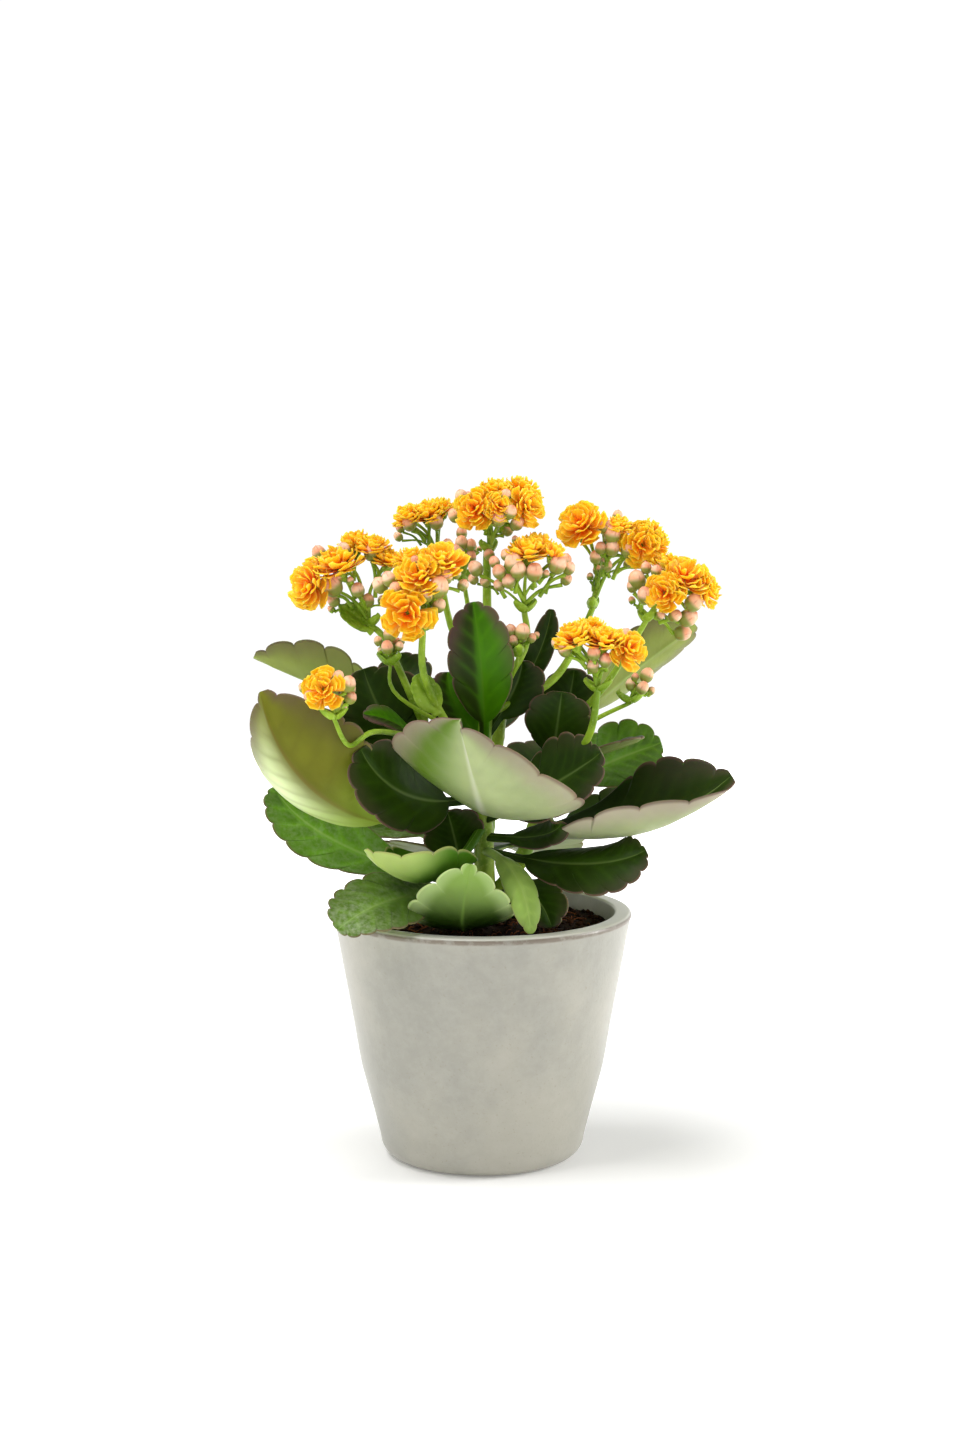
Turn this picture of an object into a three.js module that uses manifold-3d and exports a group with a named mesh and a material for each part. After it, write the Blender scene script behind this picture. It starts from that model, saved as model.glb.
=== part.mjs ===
// A potted kalanchoe with double orange flowers, in a conical glazed pot. Millimetres, +Z up.
// The origin is the middle of the pot's foot, and the side that the leaves and flowers face is -Y.
import * as THREE from "three";
import { mergeVertices } from "three/addons/utils/BufferGeometryUtils.js";
import Module from "manifold-3d";

const wasm = await Module();
wasm.setup();

// Driving dimensions
const POT_HEIGHT = 108;
const RIM_RADIUS = 65;
const WALL = 7.5;
const FOOT_RADIUS = 44.5;
const FOOT_ROUND = 8;
const BELLY = { radius: 52.7, z: 41 };
const FLOOR_THICKNESS = 8;
const POT_SIDES = 32;
const SOIL_TOP = 102;
const SOIL_GAP = 0.3;
const SOIL_SIDES = 24;
const GAP = 0.3; // between pieces that touch
const MERGE = 0.001; // points nearer than this are one
const PINCH = 0.012; // how far the two sides of a pinched edge are moved apart
const TOUCH = 0.004; // cubic millimetres that two pieces may share
const SLIVER = 0.04; // points nearer than this to the surface round them are left out
const STEM_SIDES = 6;
const PETIOLE_HALF_WIDTH = 2.1;
const PETIOLE_THICKNESS = 3.2;
const LEAF_THICKNESS = 2.2; // over the midrib
const MARGIN_THICKNESS = 0.9;
const TOOTH = 2.6; // how far a rounded tooth of the margin stands out
const NOTCH = 0.6; // the share of a tooth's height that lies inside the plain margin
const FULL_TOOTH_AT = 18; // a blade with a smaller half width has smaller teeth
const SWELL = 0.75; // how a blade widens from its petiole
const UP = new THREE.Vector3(0, 0, 1);

const material = (colour, roughness) =>
  new THREE.MeshStandardMaterial({ color: colour, roughness, metalness: 0 });
const MATERIALS = {
  glaze: material(0xc3c5bb, 0.35),
  soil: material(0x2c1a12, 0.95),
  stem: material(0x6f8f2f, 0.55),
  leaf: material(0x34521a, 0.4),
  stalk: material(0x7f9e38, 0.55),
  petal: material(0xf28a1c, 0.6),
  bud: material(0xe8b089, 0.6),
};

const vec = ([x, y, z]) => new THREE.Vector3(x, y, z);

// A closed solid from points (Vector3) and triangles (index triples).
function solidOf(points, triangles) {
  return new wasm.Manifold(
    new wasm.Mesh({
      numProp: 3,
      vertProperties: new Float32Array(points.flatMap((p) => [p.x, p.y, p.z])),
      triVerts: new Uint32Array(triangles.flat()),
    }),
  );
}

// A closed solid from a geometry, whose points nearer than MERGE become one.
function solidOfGeometry(geometry) {
  geometry.deleteAttribute("normal");
  geometry.deleteAttribute("uv");
  const merged = mergeVertices(geometry, MERGE);
  return new wasm.Manifold(
    new wasm.Mesh({
      numProp: 3,
      vertProperties: new Float32Array(merged.attributes.position.array),
      triVerts: new Uint32Array(merged.index.array),
    }),
  );
}

function geometryOf(solid) {
  const { vertProperties, triVerts, numProp, numVert } = solid.getMesh();
  const position = new Float32Array(numVert * 3);
  for (let i = 0; i < numVert; i++)
    position.set(vertProperties.subarray(i * numProp, i * numProp + 3), i * 3);
  return new THREE.BufferGeometry()
    .setAttribute("position", new THREE.BufferAttribute(position, 3))
    .setIndex(new THREE.BufferAttribute(new Uint32Array(triVerts), 1));
}

const union = (solids) => wasm.Manifold.union(solids);

// The largest body of a solid, without the scraps and hollows that a cut leaves.
function largest(solid) {
  const bodies = solid.decompose();
  return bodies.reduce((a, b) => (b.volume() > a.volume() ? b : a));
}

// A solid without the slivers of its joins and cuts.
const tidied = (solid) => largest(solidOfGeometry(geometryOf(solid.asOriginal().simplify(SLIVER))));

// Moves points at the same place apart, each into its own side, so that where a surface is pinched
// it still joins two faces at each edge.
function unpinch(geometry) {
  geometry.computeVertexNormals();
  const { position, normal } = geometry.attributes;
  const places = new Map();
  for (let i = 0; i < position.count; i++) {
    const place = [position.getX(i), position.getY(i), position.getZ(i)].join();
    places.set(place, [...(places.get(place) ?? []), i]);
  }
  for (const points of places.values()) {
    if (points.length < 2) continue;
    for (const i of points) {
      const p = new THREE.Vector3().fromBufferAttribute(position, i);
      p.addScaledVector(new THREE.Vector3().fromBufferAttribute(normal, i), -PINCH);
      position.setXYZ(i, p.x, p.y, p.z);
    }
  }
}

function meshOf(name, solid, look) {
  const geometry = geometryOf(solid);
  unpinch(geometry);
  const mesh = new THREE.Mesh(geometry, look);
  mesh.name = name;
  return mesh;
}

// A solid turned round +Z from a profile of [radius, z], which starts and ends on the axis.
function lathe(profile, sides) {
  const geometry = new THREE.LatheGeometry(
    profile.map(([r, z]) => new THREE.Vector2(r, z)),
    sides,
  );
  geometry.rotateX(Math.PI / 2);
  return solidOfGeometry(geometry);
}

// A tube through points, with a radius at each; its first and last sections are closed flat.
function tube(points, radii, sides) {
  const path = points.map(vec);
  const ring = [];
  let side = new THREE.Vector3(1, 0, 0);
  path.forEach((p, i) => {
    const along = path[Math.min(i + 1, path.length - 1)].clone();
    along.sub(path[Math.max(i - 1, 0)]).normalize();
    side = side.clone().addScaledVector(along, -side.dot(along));
    if (side.length() < 0.2) side = new THREE.Vector3(0, 1, 0).addScaledVector(along, -along.y);
    side.normalize();
    const up = new THREE.Vector3().crossVectors(along, side);
    for (let k = 0; k < sides; k++) {
      const a = (2 * Math.PI * k) / sides;
      const q = p.clone().addScaledVector(side, radii[i] * Math.cos(a));
      ring.push(q.addScaledVector(up, radii[i] * Math.sin(a)));
    }
  });
  const triangles = [];
  const last = (path.length - 1) * sides;
  for (let i = 0; i < path.length - 1; i++)
    for (let k = 0; k < sides; k++) {
      const [a, b] = [i * sides + k, i * sides + ((k + 1) % sides)];
      triangles.push([a, b, b + sides], [a, b + sides, a + sides]);
    }
  for (let k = 1; k < sides - 1; k++) {
    triangles.push([0, k + 1, k]);
    triangles.push([last, last + k, last + k + 1]);
  }
  return solidOf(ring, triangles);
}

// The shoots that carry the leaves: a main one and three that branch from it low down.
const SHOOTS = {
  main: { path: [[1, 0, 84], [1, 0, 122], [0, -3, 165], [2, -6, 200]], radii: [5, 4.6, 3.8, 2.6] },
  left: { path: [[1, 0, 110], [-16, 3, 132], [-24, 4, 165], [-26, 8, 194]], radii: [3.6, 3.4, 3, 2.2] },
  right: { path: [[1, 0, 108], [18, 2, 132], [29, 4, 165], [32, 8, 190]], radii: [3.6, 3.4, 3, 2.2] },
  back: { path: [[1, 0, 112], [2, 14, 140], [6, 18, 175], [10, 16, 204]], radii: [3.6, 3.4, 3, 2.2] },
};

function shootPoint(name, z) {
  const path = SHOOTS[name].path.map(vec);
  const i = Math.max(
    0,
    path.findIndex((p, k) => k < path.length - 1 && z <= path[k + 1].z),
  );
  const t = (z - path[i].z) / (path[i + 1].z - path[i].z);
  return path[i].clone().lerp(path[i + 1], t);
}

// A shoot, thicker all round by extra.
function shootSolid(name, extra) {
  const { path, radii } = SHOOTS[name];
  return tube(path, radii.map((r) => r + extra), STEM_SIDES);
}
const shootNames = Object.keys(SHOOTS);
const stem = union(shootNames.map((name) => shootSolid(name, 0)));
const aroundStem = union(shootNames.map((name) => shootSolid(name, GAP + 0.1)));

// Leaves. Each grows from a shoot at a height, passes through mid and ends at tip, and face is the way
// its upper side looks. half is half its width. cup is how far its sides bend up towards the upper side,
// in radians, and fold how far they already stand up at the midrib. wave lifts the margin up and down,
// bare is the share of its length that is petiole, and taper says how fast it narrows to the tip. Where
// its two sides differ, cup and taper give the one on the left of the rib first, seen from above.
const LEAVES = {
  front_broad: {
    on: "main", height: 154, mid: [-1, -48, 163], tip: [-9, -74, 200],
    face: [0.27, 0.76, 0.58], half: 42, cup: [0.5, 0.75], taper: [1.45, 0.5], wave: 3,
  },
  left_big: {
    on: "left", height: 144, mid: [-67, -36, 164], tip: [-92, -36, 207],
    face: [0.35, 0.85, 0.4], half: 31, cup: 0.9, taper: [0.7, 0.95],
  },
  left_low: {
    on: "left", height: 118, mid: [-62, 4, 136], tip: [-91, 6, 161],
    face: [0.3, -0.7, 0.6], half: 15, cup: 0.2, wave: 1, teeth: 7,
  },
  rim_left: {
    on: "main", height: 115, mid: [-35, -44, 121], tip: [-59, -66, 112],
    face: [-0.15, -0.75, 0.65], half: 15, cup: 0.2, wave: 1.5, teeth: 7,
  },
  left_tall: {
    on: "left", height: 162, mid: [-41, 9, 187], tip: [-52, 11, 212],
    face: [0.3, -0.9, 0.35], half: 20, cup: 0.35,
  },
  left_dark: {
    on: "main", height: 158, mid: [-31, -29, 162], tip: [-51, -43, 184],
    face: [0.35, -0.8, 0.5], half: 19, cup: 0.35,
  },
  centre_upright: {
    on: "main", height: 178, mid: [0, -20, 210], tip: [-4, -17, 243],
    face: [0, -1, 0.1], half: 12.5, cup: 0.3,
  },
  left_far: {
    on: "left", height: 186, mid: [-56, 33, 196], tip: [-102, 40, 215],
    face: [0.1, 0.4, 0.9], half: 21, cup: 0.9, fold: 0.2,
  },
  right_big: {
    on: "right", height: 148, mid: [62, -29, 148], tip: [104, -42, 172],
    face: [-0.1, -0.35, 0.93], half: 30, cup: [1.05, 1.5], bare: 0.1,
  },
  right_low: {
    on: "main", height: 134, mid: [40, -36, 134], tip: [68, -48, 142],
    face: [0, -0.7, 0.7], half: 15, cup: [-0.6, 0.1], wave: 1, teeth: 7,
  },
  right_far: {
    on: "right", height: 183, mid: [64, 28, 208], tip: [94, 32, 230],
    face: [-0.3, 0.7, 0.6], half: 16, cup: 0.5,
  },
  low_pale: {
    on: "main", height: 146, mid: [-22, -41, 129], tip: [-48, -56, 144],
    face: [0.2, 0.35, 0.9], half: 24, cup: 1.1, taper: 0.9,
  },
  low_arched: {
    on: "main", height: 111, mid: [-8, -45, 109.5], tip: [-5, -63, 139],
    face: [0, 0.6, 0.8], half: 21, cup: 0.35, bare: 0.3, taper: 0.8,
  },
  low_folded: {
    on: "main", height: 134, mid: [14, -44, 130], tip: [20, -55, 108.5],
    face: [0.2, -0.95, 0.2], half: 5.5, cup: -0.5, teeth: 3,
  },
  low_right: {
    on: "main", height: 112, mid: [19, -22, 119], tip: [29, -36, 107],
    face: [0.1, -0.6, 0.8], half: 11, cup: 0.2, teeth: 3,
  },
  right_dark: {
    on: "main", height: 147, mid: [27, -23, 164], tip: [50, -34, 181],
    face: [-0.2, -0.75, 0.65], half: 18, cup: 0.4,
  },
  right_upright: {
    on: "right", height: 166, mid: [32, -5, 188], tip: [34, -8, 204],
    face: [0, -1, 0.1], half: 13, cup: 0.3, teeth: 3,
  },
  right_upright_far: {
    on: "right", height: 172, mid: [37, 13, 195], tip: [40, 11, 212],
    face: [0, -1, 0.1], half: 11, cup: 0.2, teeth: 3,
  },
  right_mid: {
    on: "right", height: 158, mid: [56, 16, 170], tip: [79, 20, 178],
    face: [0, -0.6, 0.8], half: 18, cup: 0.3,
  },
  right_edge: {
    on: "right", height: 170, mid: [52, -3, 178], tip: [69, -3, 184],
    face: [0, 0.1, 1], half: 11, cup: 0.3, teeth: 3,
  },
  left_wrinkled: {
    on: "left", height: 137, mid: [-38, 22, 141], tip: [-57, 26, 145],
    face: [0, -0.3, 0.95], half: 14, cup: 0.2, teeth: 3,
  },
  left_small: {
    on: "left", height: 178, mid: [-38, -4, 190], tip: [-51, -9, 194],
    face: [0, -0.5, 0.85], half: 6.5, cup: 0.3, teeth: 3,
  },
  left_back: {
    on: "left", height: 190, mid: [-33, 26, 204], tip: [-37, 32, 217],
    face: [0, -1, 0.2], half: 11, cup: 0.2, teeth: 3,
  },
  centre_left: {
    on: "back", height: 174, mid: [-10, 6, 194], tip: [-15, 6, 211],
    face: [0, -1, 0.1], half: 11, cup: 0.2, teeth: 3,
  },
  centre_right: {
    on: "main", height: 184, mid: [13, -3, 203], tip: [17, -4, 217],
    face: [0, -1, 0.2], half: 11, cup: 0.3, teeth: 3,
  },
  centre_far: {
    on: "back", height: 192, mid: [23, 12, 215], tip: [30, 12, 238],
    face: [0, -1, 0.1], half: 4.5, cup: 0.3, teeth: 3,
  },
  centre_dark: {
    on: "left", height: 122, mid: [-12, -6, 140], tip: [-15, -12, 153],
    face: [0, -0.9, 0.4], half: 12, cup: 0.2, teeth: 3,
  },
  right_small: {
    on: "main", height: 140, mid: [24, -24, 144], tip: [33, -36, 152],
    face: [0.2, -0.8, 0.5], half: 6, cup: 0.2, teeth: 3,
  },
  back_left: {
    on: "back", height: 150, mid: [-28, 48, 163], tip: [-48, 72, 172],
    face: [0.1, -0.2, 0.95], half: 24, cup: 0.5, teeth: 4,
  },
  back_right: {
    on: "back", height: 153, mid: [28, 52, 160], tip: [44, 80, 170],
    face: [-0.1, -0.2, 0.95], half: 25, cup: 0.5, teeth: 4,
  },
  back_middle: {
    on: "back", height: 176, mid: [0, 50, 188], tip: [-4, 78, 200],
    face: [0, -0.3, 0.95], half: 23, cup: 0.5, teeth: 4,
  },
  back_low_right: {
    on: "back", height: 131, mid: [20, 40, 130], tip: [34, 66, 120],
    face: [0, 0.3, 0.9], half: 20, cup: 0.2, teeth: 4,
  },
  back_low_left: {
    on: "back", height: 128, mid: [-22, 38, 128], tip: [-44, 60, 120],
    face: [0, 0.3, 0.9], half: 20, cup: 0.2, teeth: 4,
  },
  right_back: {
    on: "right", height: 142, mid: [58, 32, 142], tip: [86, 46, 152],
    face: [0, -0.1, 1], half: 23, cup: 0.5, teeth: 4,
  },
  left_rear: {
    on: "left", height: 150, mid: [-58, 34, 158], tip: [-88, 44, 170],
    face: [0, -0.1, 1], half: 22, cup: 0.5, teeth: 4,
  },
};

const smoothstep = (low, high, x) => {
  const t = Math.min(1, Math.max(0, (x - low) / (high - low)));
  return t * t * (3 - 2 * t);
};

// Half the width of a blade at a share of its length, as a share of its widest.
function bladeProfile(s, taper) {
  const widest = SWELL / (SWELL + taper);
  return (s / widest) ** SWELL * ((1 - s) / (1 - widest)) ** taper;
}

// A point of the toothed margin at turn, from 0 at the petiole to 1 at the tip: millimetres along and out.
function marginPoint(turn, teeth, half, length, taper) {
  const at = (k) => {
    const s = 1 - (1 - k) ** 1.5;
    return [s * length, PETIOLE_HALF_WIDTH * (1 - s) + half * bladeProfile(s, taper)];
  };
  const [x, y] = at(turn);
  const [x0, y0] = at(Math.max(0, turn - 0.02));
  const [x1, y1] = at(Math.min(1, turn + 0.02));
  const size = Math.hypot(x1 - x0, y1 - y0);
  const phase = (teeth * (1 - turn) + 0.5) % 1;
  const scallop = Math.sqrt(4 * phase * (1 - phase)) - NOTCH;
  const out = TOOTH * scallop * smoothstep(0.05, 0.35, turn) * Math.min(1, half / FULL_TOOTH_AT);
  return [x - ((y1 - y0) / size) * out, y + ((x1 - x0) / size) * out];
}

const pair = (value) => (Array.isArray(value) ? value : [value, value]);

// A leaf from base to tip. Its inner rows stand at the notches between teeth, and its margin has
// two more points on each tooth.
function leafSolid(leaf) {
  const { half, cup = 0.3, fold = 0, wave = 0, bare = 0.22, teeth = 5, taper = 0.55 } = leaf;
  const [cupLeft, cupRight] = pair(cup);
  const [taperLeft, taperRight] = pair(taper);
  const [start, mid, end] = [vec(leaf.from), vec(leaf.mid), vec(leaf.tip)];
  const control = mid.multiplyScalar(2).addScaledVector(start, -0.5).addScaledVector(end, -0.5);
  const rib = new THREE.QuadraticBezierCurve3(start, control, end);
  const length = rib.getLength() * (1 - bare);
  const facing = vec(leaf.face);
  const [upper, lower] = [[], []];

  // Adds the point at t along the rib and y across it to both faces, and gives its number.
  function add(t, y, lift, thickness) {
    const at = rib.getPoint(Math.min(t, 1));
    const along = rib.getTangent(Math.min(t, 1));
    const up = facing.clone().addScaledVector(along, -facing.dot(along)).normalize();
    const side = new THREE.Vector3().crossVectors(along, up);
    const radius = half / (y < 0 ? cupLeft : cupRight);
    const from = fold * Math.min(1, Math.abs(y) / 4);
    const to = from + Math.abs(y) / radius;
    at.addScaledVector(side, Math.sign(y) * radius * (Math.sin(to) - Math.sin(from)));
    at.addScaledVector(up, radius * (Math.cos(from) - Math.cos(to)) + lift);
    const out = up.multiplyScalar(Math.cos(to)).addScaledVector(side, -Math.sign(y) * Math.sin(to));
    upper.push(at.clone().addScaledVector(out, thickness / 2));
    lower.push(at.addScaledVector(out, -thickness / 2));
    return upper.length - 1;
  }
  // The same for the blade: turn is the row, and q the share of the way from the rib to the margin.
  function addToBlade(turn, q) {
    const share = Math.abs(q);
    const narrowing = q < 0 ? taperLeft : taperRight;
    const [marginAlong, marginOut] = marginPoint(turn, teeth, half, length, narrowing);
    const ribAlong = turn ** 1.15 * length;
    const along = ribAlong + (marginAlong - ribAlong) * share ** 1.3;
    const lift = wave * share * share * Math.sin(3 * Math.PI * turn + (q < 0 ? 1.5 : 0));
    const thinning = Math.max(share * share, 0.4 * turn);
    const thickness = THREE.MathUtils.lerp(LEAF_THICKNESS, MARGIN_THICKNESS, thinning);
    return add(bare + ((1 - bare) * along) / length, q * marginOut, lift, thickness);
  }
  // The same for the foot of the petiole, which is thinner at its sides.
  const addToFoot = (q) => add(0, q * PETIOLE_HALF_WIDTH, 0, PETIOLE_THICKNESS * (1 - 0.35 * q * q));

  const inner = half > 12 && Math.abs(cupLeft) > 0.4 ? [-0.5, 0, 0.5] : [0];
  const notches = Array.from({ length: teeth }, (_, i) => (i + 0.5) / teeth);
  const base = [-1, ...inner, 1].map(addToFoot);
  const rows = [{ inner: base.slice(1, -1), left: [base[0]], right: [base.at(-1)] }];
  [0, ...notches].forEach((turn, i) => {
    const before = i < 2 ? [] : [turn - 0.7 / teeth, turn - 0.3 / teeth];
    rows.push({
      inner: inner.map((q) => addToBlade(turn, q)),
      left: [...before, turn].map((t) => addToBlade(t, -1)),
      right: [...before, turn].map((t) => addToBlade(t, 1)),
    });
  });
  const shoulder = 1 - 0.2 / teeth;
  const [tipAlong] = marginPoint(1, teeth, half, length, taperLeft);
  const tipPoint = add(bare + ((1 - bare) * tipAlong) / length, 0, 0, MARGIN_THICKNESS);
  rows.push({
    inner: inner.map(() => tipPoint),
    left: [addToBlade(shoulder, -1), tipPoint],
    right: [addToBlade(shoulder, 1), tipPoint],
  });

  const offset = upper.length;
  const triangles = [];
  function both(a, b, c) {
    if (a === b || b === c || a === c) return;
    triangles.push([a, b, c], [a + offset, c + offset, b + offset]);
  }
  const wall = (a, b) => triangles.push([a, a + offset, b + offset], [a, b + offset, b]);
  for (let i = 1; i < rows.length; i++) {
    const [a, b] = [rows[i - 1], rows[i]];
    for (let j = 0; j < inner.length - 1; j++) {
      const [p, q, r, s] = [a.inner[j], a.inner[j + 1], b.inner[j], b.inner[j + 1]];
      if (j < 1) {
        both(p, q, s);
        both(p, s, r);
      } else {
        both(p, q, r);
        both(q, s, r);
      }
    }
    for (const [from, to, chain, turn] of [
      [a.inner[0], b.inner[0], [a.left.at(-1), ...b.left], (x, y, z) => both(x, z, y)],
      [a.inner.at(-1), b.inner.at(-1), [a.right.at(-1), ...b.right], both],
    ]) {
      const middle = Math.ceil((chain.length - 1) / 2);
      for (let k = 1; k < chain.length; k++)
        turn(k <= middle ? from : to, chain[k - 1], chain[k]);
      turn(from, chain[middle], to);
    }
    const [left, right] = [[a.left.at(-1), ...b.left], [a.right.at(-1), ...b.right]];
    for (let k = 1; k < left.length; k++) {
      wall(left[k], left[k - 1]);
      wall(right[k - 1], right[k]);
    }
  }
  for (let k = 1; k < base.length; k++) wall(base[k - 1], base[k]);
  return solidOf([...upper, ...lower], triangles);
}

// Heads of flowers. centre is the middle of the dome that its flowers and buds stand on, reach the
// dome's half sizes and hub the point its stalks spread from. stalk runs on from the hub, to a shoot at
// a height. A flower is [x, y, z] from the centre, how far it measures across and, where it doesn't look
// away from the hub, the way it faces. A bud is [x, z] on the near side of the dome and its width. far
// counts the flowers and buds behind. A bract is a small leaf that the stalk bears.
const HEADS = {
  top: {
    centre: [6, 6, 282], reach: [18, 14, 9], hub: [3, 6, 264],
    stalk: [[2, 6, 262], [2, 5, 235]], on: ["main", 192], thick: 2.1,
    flowers: [
      [-9, -10, 0, 19, [-0.3, -1, 0.3]], [1, -12, 1, 14, [0.2, -1, 0.4]], [0, -2, 7, 17],
      [13, -7, 1, 18, [0.6, -0.8, 0.2]], [11, 3, 7, 19],
    ],
    buds: [[-15, 5, 5.8], [-18, -3, 5.8], [4, 6, 4.7], [6, -1, 5.6], [1, -4, 6], [9, -6, 5.8], [5, -9, 5.4]],
    far: [2, 2],
  },
  top_left: {
    centre: [-26, 24, 275], reach: [12, 10, 7], hub: [-19, 24, 259],
    stalk: [[-19, 24, 257], [-12, 17, 225]], on: ["back", 190], thick: 1.6,
    flowers: [[-6, -6, 3, 16], [2, -7, 4, 17], [9, -5, 6, 12]],
    buds: [[-6, 0, 5.8], [6, 1, 6.3]],
    far: [1, 2],
  },
  left: {
    centre: [-59, -2, 256], reach: [19, 11, 12], hub: [-48, -2, 233],
    stalk: [[-48, -2, 232], [-41, 0, 224]], on: ["left", 188], thick: 1.55,
    flowers: [[-14, -8, -6, 23, [-0.75, -0.7, 0.1]], [-2, -9, 3, 23], [12, -4, 10, 16], [19, -4, 4, 15]],
    buds: [
      [0, 9, 5.8], [12, 8, 7.2], [18, 6, 6.7], [-5, -6, 8.7], [-5, -13, 5.4], [6, -8, 5.8], [10, -13, 5.4],
    ],
    far: [1, 2],
    bract: {
      from: [-47, -2, 229], mid: [-54, -3, 235], tip: [-61, -4, 240],
      face: [0.5, -0.6, 0.6], half: 5.5,
    },
  },
  centre_left: {
    centre: [-25, -26, 251], reach: [17, 12, 11], hub: [-25, -28, 233],
    stalk: [[-25, -28, 232], [-23, -27, 208]], on: ["main", 165], thick: 1.7,
    flowers: [
      [8, -4, 10, 22, [0, -0.55, 0.85]], [-1, -9, 4, 22, [-0.2, -0.75, 0.65]],
      [-6, -12, -11, 24, [-0.05, -1, 0]],
    ],
    buds: [
      [-3, 10, 4.7], [7, 0, 8.5], [10, 4, 5.6], [17, 0, 4.7], [2, -3, 6], [7, -8, 5.6], [-11, -1, 5.4],
      [-14, 3, 6], [-18, 0, 6.5],
    ],
    far: [1, 2],
    bract: {
      from: [-19, -23, 196], mid: [-23, -25, 204], tip: [-28, -26, 213],
      face: [0.2, -1, 0.1], half: 5,
    },
  },
  centre: {
    centre: [17, -4, 257], reach: [21, 12, 10], hub: [18, -4, 239],
    stalk: [[18, -4, 238], [18, -6, 222]], on: ["main", 196], thick: 1.6,
    flowers: [[2, -7, 7, 18.2], [13, -8, 6, 12.4]],
    buds: [
      [-2, 0, 7.2], [-6, -5, 5.8], [-10, -1, 5.8], [-12, 3, 4.7], [-7, 6, 4.7], [-4, 3, 7.6], [5, -1, 7.2],
      [15, 2, 7.6], [20, 0, 5.2], [19, -5, 4.7], [-20, 0, 6.3], [-10, -7, 4.7],
    ],
    far: [1, 2],
  },
  right_top: {
    centre: [56, 16, 268], reach: [20, 10, 12], hub: [48, 16, 239],
    stalk: [[48, 16, 238], [40, 10, 221], [28, 3, 206]], on: ["main", 194], thick: 1.8,
    flowers: [
      [-13, -7, 7, 23, [-0.4, -0.7, 0.6]], [3, -8, 6, 14], [13, -9, -2, 21, [0.1, -1, 0.2]],
      [18, -3, 1, 18, [0.8, 0.1, 0.5]],
    ],
    buds: [
      [-3, 6, 6], [0, 3, 7.4], [0, -3, 6.3], [-5, -3, 4.9], [7, -4, 6.3], [-7, -7, 5.4], [-2, -11, 4.9],
      [13, -9, 5.4],
    ],
    far: [1, 2],
  },
  right: {
    centre: [81, -4, 246], reach: [17, 12, 12], hub: [70, -4, 235],
    stalk: [[70, -4, 234], [62, -1, 220], [50, 2, 202]], on: ["right", 182], thick: 1.6,
    flowers: [
      [5, -8, 7, 22, [0.1, -0.6, 0.8]], [-4, -12, 1, 18, [-0.3, -1, 0.2]], [14, -5, 2, 17, [1, -0.3, 0.3]],
    ],
    buds: [
      [-15, 6, 7.6], [-17, 3, 4.7], [-12, 0, 6.7], [-11, 11, 4.7], [-7, 10, 4.7], [9, -3, 7.6], [11, 3, 4.7],
      [7, -10, 7.6], [5, -17, 6.7], [1, -9, 5.4],
    ],
    far: [1, 2],
  },
  right_low: {
    centre: [48, -32, 225], reach: [17, 11, 8], hub: [48, -34, 208],
    stalk: [[48, -34, 207], [44, -29, 186]], on: ["right", 160], thick: 1.7,
    flowers: [[-10, -8, 5, 19], [2, -9, 4, 18], [12, -8, 0, 18, [0.5, -0.8, 0.4]]],
    buds: [
      [-10, 6, 4.7], [-5, 8, 4.7], [-14, 0, 5.6], [-2, -1, 5.6], [3, -4, 5.6], [-2, -7, 5.2], [-17, 2, 4.7],
    ],
    far: [1, 2],
  },
  left_low: {
    centre: [-64, -49, 210], reach: [10, 7, 6], hub: [-61, -49, 198],
    stalk: [[-61, -49, 197], [-55, -48, 186], [-45, -34, 190]], on: ["left", 182], thick: 1.2,
    flowers: [[-1, -5, 0, 18, [-0.1, -1, 0.3]]],
    buds: [[9, 2, 6.3], [10, -4, 4.7], [4, -6, 5.6], [5, 5, 4.7], [-7, -3, 4.7]],
    far: [0, 2],
  },
  inner: {
    centre: [-9, 18, 264], reach: [8, 6, 7], hub: [-8, 18, 250],
    stalk: [[-8, 18, 249], [-3, 16, 225]], on: ["back", 195], thick: 1.2,
    flowers: [],
    buds: [[-6, 2, 4.9], [0, 3, 5.8], [-2, -1, 6.7], [4, 2, 4.9], [4, -3, 4.9], [0, 7, 4.9]],
    far: [0, 1],
  },
  bud_centre: {
    centre: [16, -16, 228], reach: [6, 4, 4], hub: [15, -16, 221],
    stalk: [[15, -16, 220], [13, -13, 212]], on: ["main", 190], thick: 0.9,
    flowers: [],
    buds: [[-4, 3, 5.2], [1, 3, 6.3]],
    far: [0, 1],
  },
  bud_left: {
    centre: [-39, -22, 226], reach: [5, 4, 4], hub: [-39, -22, 218],
    stalk: [[-39, -22, 217], [-35, -21, 203]], on: ["main", 180], thick: 0.9,
    flowers: [],
    buds: [[0, 4, 5.6], [-1, -1, 5.2]],
    far: [0, 1],
  },
  bud_right: {
    centre: [68, -14, 208], reach: [5, 4, 4], hub: [63, -14, 201],
    stalk: [[63, -14, 200], [50, -8, 193]], on: ["right", 180], thick: 1.05,
    flowers: [],
    buds: [[2, 4, 5.8], [0, -1, 5.2]],
    far: [0, 1],
  },
};
const FLOWER_LOBES = 5;
const BUD_SIDES = 3;
const FAR_FLOWER = 17; // across, on the far side of a head
const FAR_BUD = 5.5;
const FAR_OVERLAP = 6; // how far a far flower reaches into the one that it touches
const HALF_OPEN = 13; // a flower under this across is half open
const FULL = 19.5; // and one over this has its third ring of petals
const FLOWER_DEPTH = 0.32; // from a flower's middle down to its foot, as a share of its width
const BUD_DEPTH = 0.575;
const CALYX_GAP = 0.3; // between a stalk's end and the petals or bud on it

// Seeded draws from 0 to 1.
function makeDraw(seed) {
  let state = seed;
  return () => {
    state = (Math.imul(state, 1664525) + 1013904223) >>> 0;
    return state / 2 ** 32;
  };
}

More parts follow.
